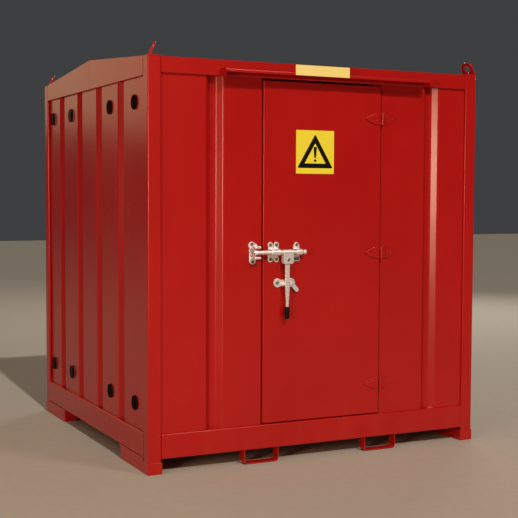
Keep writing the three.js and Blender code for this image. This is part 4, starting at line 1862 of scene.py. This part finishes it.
@dataclass
class LockBar:
    """The zinc-plated turning bar, its keeper, brackets, lever, retainer and catch."""

    grid: float = 1.1
    rod: float = 11.0
    start: float = 626.0
    end: float = 952.0
    hub: Flat = (812.0, 876.0)
    hub_r: float = 15.0
    cheek_t: float = 5.0
    cheek_low: float = 66.0
    brackets: tuple[Bracket, ...] = (Bracket(730.0, 803.0, 118.0, 2),
                                     Bracket(893.0, 940.0, 112.0, 1))
    saddle: float = 18.0
    bore_gap: float = 0.6
    lever_x: float = 842.0
    lever_half_t: float = 6.0
    lever_halves: tuple[Flat, ...] = ((1170, 15), (1102, 13.5), (1052, 14.5), (1012, 13),
                                      (972, 11), (937, 8.5), (892.5, 7.2))
    grip: tuple[Flat, ...] = ((834, 8.5), (835.5, 11.5), (839, 13.2), (866, 14.0), (898, 14.6),
                              (902, 14.0), (904, 11.5))
    pivot: float = 1178.0
    keeper_x: float = 639.0
    keeper_base: float = 6.0
    keeper_boss: float = 9.0
    jaws: tuple[Flat, Flat] = ((24.0, 37.0), (-37.0, -24.0))
    lobes: Flat = (794.0, 882.0)
    retainer_z: float = 1041.0
    catch_z: float = 1037.0
    catch_half: float = 13.0
    catch_length: float = 50.0
    catch_hole: float = 4.5
    catch_t: float = 6.0
    catch_y: float = -6.6
    catch_turn: float = -48.0

    def build(self) -> None:
        """Makes every part of the lock bar."""
        self.keeper()
        for i, bracket in enumerate(self.brackets, 1):
            self.bracket(f"rod_bracket_{i}", bracket)
        self.turning_bar()
        self.lever()
        self.retainer()
        self.catch()

    def forging(self, node: str, stock: Stock, body: Body) -> None:
        """Joins, rounds and plates one forging."""
        settle(piece_from(f"{node}_forged", stock, COATS.zinc, forged=self.grid), body,
               [node])

    def bolts(self, name: str, spots: Sequence[Point], body: Body, head: float) -> None:
        """Fits hexagon bolts that face the front.

        Args:
            name: The piece's name.
            spots: The middle of each washer.
            body: What they ride on.
            head: Half their width over the corners.
        """
        made = BOLTS.fit(name, spots, (90, 0, 0), COATS.dark_bolts,
                         {"Head": head, "Height": 3.0, "Washer": head * 1.35})
        settle(made, body, [])

    def keeper(self) -> None:
        """Makes the keeper on the wall: two bolt lobes and a jaw to each side of the cam."""
        x, face = self.keeper_x, WALL_FACE
        out, top, foot = face - self.keeper_boss, ROD_Z + 36, ROD_Z - 47
        stock = block(x - 22, x + 20, face - self.keeper_base, face, ROD_Z - 52, ROD_Z + 42)
        stock.soften(2).add(lobe(x - 6, top + 3, 22, out, face), lobe(x + 9, top - 3, 21, out, face),
                            lobe(x - 2, foot, 21, out, face))
        for low, high in self.jaws:
            jaw = block(x - 14, x + 29, ROD_Y - 16, face, ROD_Z + low, ROD_Z + high)
            stock.add(jaw.soften(4, 3))
        self.forging("lock_keeper", stock, Body.STORE)
        self.bolts("lock_keeper_bolts", [(x - 8, out - 0.8, top + 12), (x - 2, out - 0.8, foot - 8)],
                   Body.STORE, 7.0)

    def bracket(self, node: str, shape: Bracket) -> None:
        """Makes one bearing bracket with its bolts.

        Args:
            node: Its CAD node.
            shape: Its sizes.
        """
        x0, x1 = shape.left, shape.right
        r = min(17.0, (x1 - x0) / 3.2)
        low, high = ROD_Z - shape.tall / 2 + r, ROD_Z + shape.tall / 2 - r
        ends = (x0 + r, x1 - r)
        tops = ends if shape.tops > 1 else ((x0 + x1) / 2,)
        spots = [(x, low) for x in ends] + [(x, high) for x in tops]
        stock = block(x0 + 3, x1 - 3, -0.3, DOOR_FACE, low, high).soften(1.5)
        stock.add(*(lobe(x, z, r, -1.3, DOOR_FACE) for x, z in spots))
        ring = [(ROD_Y + self.saddle * math.cos(t), ROD_Z + self.saddle * math.sin(t))
                for t in (math.radians(d) for d in range(90, 271, 10))]
        saddle = [(DOOR_FACE, ROD_Z + 24), (-4.0, ROD_Z + self.saddle), *ring,
                  (-4.0, ROD_Z - self.saddle), (DOOR_FACE, ROD_Z - 24)]
        stock.add(draw(Axis.X, saddle, x0 + 5, x1 - 5).soften(1.6, 2, least=50))
        piece = piece_from(f"{node}_forged", stock, COATS.zinc, forged=self.grid)
        bore(piece, round_bar(Axis.X, self.rod + self.bore_gap, (ROD_Y, ROD_Z), x0 - 5, x1 + 5,
                              0.3, 48))
        settle(piece, Body.DOOR, [node])
        self.bolts(f"{node}_bolts", [(x, -2.2, z) for x, z in spots], Body.DOOR,
                   min(6.5, r * 0.5))

    def turning_bar(self) -> None:
        """Makes the bar with its cam, hub, fork for the lever and end knob."""
        centre, mid, (x0, x1) = (ROD_Y, ROD_Z), self.lever_x, self.hub
        stock = round_bar(Axis.X, self.rod, centre, self.start, self.end, 1.0)
        knob = [(self.end - 2, 11), (self.end + 1, 14.5), (self.end + 8, 14.5),
                (self.end + 11, 11)]
        stock.add(turned_bar(Axis.X, centre, knob),
                  round_bar(Axis.X, self.hub_r, centre, x0, x1, 1.5))
        cam = [(ROD_Y - 15, ROD_Z - 12), (ROD_Y + 12, ROD_Z - 12), (ROD_Y + 17, ROD_Z),
               (ROD_Y + 12, ROD_Z + 12), (ROD_Y - 15, ROD_Z + 12), (ROD_Y - 20, ROD_Z)]
        nose = draw(Axis.X, rounded(cam, 4.0), self.start - 1, self.start + 20)
        stock.add(nose.soften(1.5, 3, least=60))
        low = ROD_Z - self.cheek_low
        cheek = rounded([(x0, ROD_Z), (x0, low + 8), (x0 + 6, low), (x1 - 6, low),
                         (x1, low + 8), (x1, ROD_Z)], 4.0)
        inner = self.hub_r - self.cheek_t
        for y0, y1 in ((ROD_Y - self.hub_r, ROD_Y - inner), (ROD_Y + inner, ROD_Y + self.hub_r)):
            stock.add(draw(Axis.Y, cheek, y0, y1).soften(0.9, 3, least=60))
        stock.add(lobe(mid, self.pivot, 8.0, ROD_Y - 18.5, ROD_Y - 12),
                  round_bar(Axis.Y, 5.0, (mid, self.pivot), ROD_Y - 16, ROD_Y + 15, 0.5, 24))
        settle(piece_from("lock_rod_fitted", stock, COATS.zinc), Body.LOCK_BAR,
               ["lock_rod"])
        self.bolts("lever_pivot_head", [(mid, ROD_Y - 19.0, self.pivot)], Body.LOCK_BAR, 6.0)

    def lever(self) -> None:
        """Makes the tapering lever and its dipped grip."""
        x = self.lever_x
        left = [(x - h, z) for z, h in self.lever_halves[::-1]]
        crown = [(x + a, self.pivot + b) for a, b in arc(0, 0, 15, 180, 0, 12)]
        right = [(x + h, z) for z, h in self.lever_halves]
        stock = draw(Axis.Y, left + crown + right, ROD_Y - self.lever_half_t,
                     ROD_Y + self.lever_half_t).soften(2.2, 3, least=50)
        self.forging("lock_lever", stock, Body.LEVER)
        sleeve = turned_bar(Axis.Z, (x - 0.5, ROD_Y), self.grip)
        settle(piece_from("lever_grip_dipped", sleeve, COATS.grip), Body.LEVER,
               ["lever_grip"])

    def retainer(self) -> None:
        """Makes the two-lobed retainer, with the lever's seat and the catch's pivot."""
        z, x, (left, right) = self.retainer_z, self.lever_x, self.lobes
        stock = Stock().add(*(lobe(a, z, 26, -3.3, DOOR_FACE) for a in self.lobes))
        stock.add(block(left, right, -2.3, DOOR_FACE, z - 19, z + 19),
                  block(x - 22, x + 24, ROD_Y + 8, DOOR_FACE, z - 15, z + 15).soften(2),
                  block(x + 16.5, x + 24, ROD_Y - 9, DOOR_FACE, z - 15, z + 15).soften(2),
                  round_bar(Axis.Y, 4.0, (right, self.catch_z), -15.3, -2, 0.5, 24),
                  lobe(right, self.catch_z, 8.0, -15.3, -11.3))
        self.forging("lever_retainer", stock, Body.DOOR)
        self.bolts("lever_retainer_bolts", [(left - 3, -4.2, z + 2)], Body.DOOR, 7.0)

    def catch(self) -> None:
        """Makes the swinging padlock catch, a rounded pill on its rivet."""
        half, length = self.catch_half, self.catch_length
        shape = arc(0, 0, half, 90, 270, 16) + arc(length, 0, half, -90, 90, 16)
        spot = facing_front(self.lobes[1], self.catch_y, self.catch_z, self.catch_turn)
        stock = plate([shape, circle(0, 0, self.catch_hole, 20)], self.catch_t, 1.6, spot)
        settle(piece_from("padlock_catch_pressed", stock, COATS.zinc), Body.CATCH,
               ["padlock_catch"])


# ---------------------------------------------------------------- floor inside
@dataclass
class FloorInside:
    """The sump's floor and the gratings over it, with the gratings' cross rods."""

    top: float = 245.5
    rod: float = 2.6
    pitch: float = 76.0
    first: float = 0.6
    from_side: float = 56.0
    from_middle: float = 4.0
    from_front: float = 88.0
    rod_end: float = 4.0

    def build(self) -> None:
        """Coats the CAD nodes and adds the cross rods."""
        for node, coat in (("sump_floor", COATS.inside), ("grating_left", COATS.galvanised),
                           ("grating_right", COATS.galvanised)):
            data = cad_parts[node].data
            data.materials.clear()
            data.materials.append(coat)
            LOG.info("%s coated", node)
        half = (DEPTH - self.from_side - self.from_front) / 2
        middle = self.from_front + half
        count = int((WIDTH / 2 - self.from_side - self.from_middle) / self.pitch)
        for side, start in (("left", self.from_side), ("right", WIDTH / 2 + self.from_middle)):
            spots = [(start + self.pitch * (i + self.first), middle, self.top)
                     for i in range(count)]
            rods = WIRES.fit(f"grating_{side}_cross_rods", spots, (90, 0, 0), COATS.galvanised,
                             {"Radius": self.rod}, [half - self.rod_end] * count)
            settle(rods, Body.STORE, [])


# ---------------------------------------------------------------- studio
@dataclass
class Studio:
    """The floor, the lights and the camera."""

    floor_reach: float = 30.0
    floor_z: float = -0.001
    aim_z: float = 1.1
    sky: Point = (0.80, 0.82, 0.85)
    sky_strength: float = 0.06
    eye: Point = (-3.2275, -6.69935, 1.547)
    heading: float = 26.22
    pitch: float = -3.28
    roll: float = 0.25
    lens: float = 77.39
    film: float = 36.0

    def build(self) -> None:
        """Sets the studio up."""
        self.floor()
        self.lights()
        self.camera()
        bpy.context.scene.view_settings.view_transform = "Standard"

    def floor(self) -> None:
        """Lays the plain pale floor."""
        mesh = bpy.data.meshes.new("studio_floor")
        r, z = self.floor_reach, self.floor_z
        mesh.from_pydata([(-r, -r, z), (r, -r, z), (r, r, z), (-r, r, z)], [], [(0, 1, 2, 3)])
        mesh.materials.append(COATS.floor)
        floor = bpy.data.objects.new("studio_floor", mesh)
        bpy.context.scene.collection.objects.link(floor)

    def lamp(self, name: str, kind: str, spot: Point, energy: float, colour: Point,
             size: float) -> None:
        """Hangs one light, aimed at the store.

        Args:
            name: Its name.
            kind: SUN or AREA.
            spot: Where it hangs; a sun only shines from that way.
            energy: Its strength.
            colour: Its colour.
            size: A sun's width in degrees, or an area light's side in metres.
        """
        data = bpy.data.lights.new(name, kind)
        data.energy, data.color = energy, colour
        if kind == "SUN":
            data.angle = math.radians(size)
        else:
            data.size = size
        light = bpy.data.objects.new(name, data)
        light.location = spot
        aim = Vector(spot) - Vector((0.0, 0.0, self.aim_z))
        light.rotation_mode = "QUATERNION"
        light.rotation_quaternion = aim.to_track_quat("Z", "Y")
        bpy.context.scene.collection.objects.link(light)

    def lights(self) -> None:
        """Hangs a key light and the soft boxes and cards round the store."""
        self.lamp("key", "SUN", (-0.42, -7.6, 7.6), 1.72, (1.0, 0.97, 0.90), 1.5)
        self.lamp("front_box", "AREA", (0.0, -10.5, 2.0), 34.0, (1.0, 0.72, 0.42), 3.2)
        self.lamp("side_strip", "AREA", (-6.9, -5.7, 1.9), 270.0, (1.0, 0.66, 0.46), 1.5)
        self.lamp("top_box", "AREA", (2.6, -6.9, 6.9), 190.0, (1.0, 0.82, 0.68), 1.5)
        self.lamp("left_fill", "AREA", (-7.5, -2.0, 7.5), 80.0, (1.0, 0.88, 0.78), 4.0)
        self.lamp("rear_card", "AREA", (-3.9, 8.6, 4.9), 70.0, (1.0, 0.82, 0.46), 5.0)
        self.lamp("back_fill", "AREA", (6.5, 6.5, 5.0), 260.0, (1.0, 0.97, 0.94), 4.0)
        world = bpy.data.worlds.new("studio")
        world.use_nodes = True
        sky = world.node_tree.nodes["Background"]
        sky.inputs["Color"].default_value = (*self.sky, 1.0)
        sky.inputs["Strength"].default_value = self.sky_strength
        bpy.context.scene.world = world

    def camera(self) -> None:
        """Stands the camera where the store is seen from the front left."""
        data = bpy.data.cameras.new("camera")
        data.lens, data.sensor_width = self.lens, self.film
        camera = bpy.data.objects.new("camera", data)
        turn, tilt = math.radians(self.heading), math.radians(self.pitch)
        ahead = Vector((math.sin(turn) * math.cos(tilt), math.cos(turn) * math.cos(tilt),
                        math.sin(tilt)))
        camera.location = self.eye
        camera.rotation_mode = "QUATERNION"
        camera.rotation_quaternion = (ahead.to_track_quat("-Z", "Y")
                                      @ Quaternion((0, 0, 1), math.radians(self.roll)))
        bpy.context.scene.collection.objects.link(camera)
        bpy.context.scene.camera = camera


def coat_what_is_left() -> None:
    """Enamels every CAD node that has no finish of its own."""
    own = (COATS.inside, COATS.galvanised)
    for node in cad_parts.values():
        if node.data.materials and node.data.materials[0] not in own:
            node.data.materials.clear()
            node.data.materials.append(COATS.red)


def main() -> None:
    """Builds the store, piece by piece, and the studio round it."""
    logging.basicConfig(level=logging.INFO, format="%(message)s")
    for part in (Frame(), Underside(), LiftingEyes(), Walls(), Roof(), Hood(), Doorway(),
                 Door(), Hinges(), LockBar(), FloorInside()):
        part.build()
        LOG.info("built %s", type(part).__name__)
    coat_what_is_left()
    Studio().build()


if __name__ == "__main__":
    main()
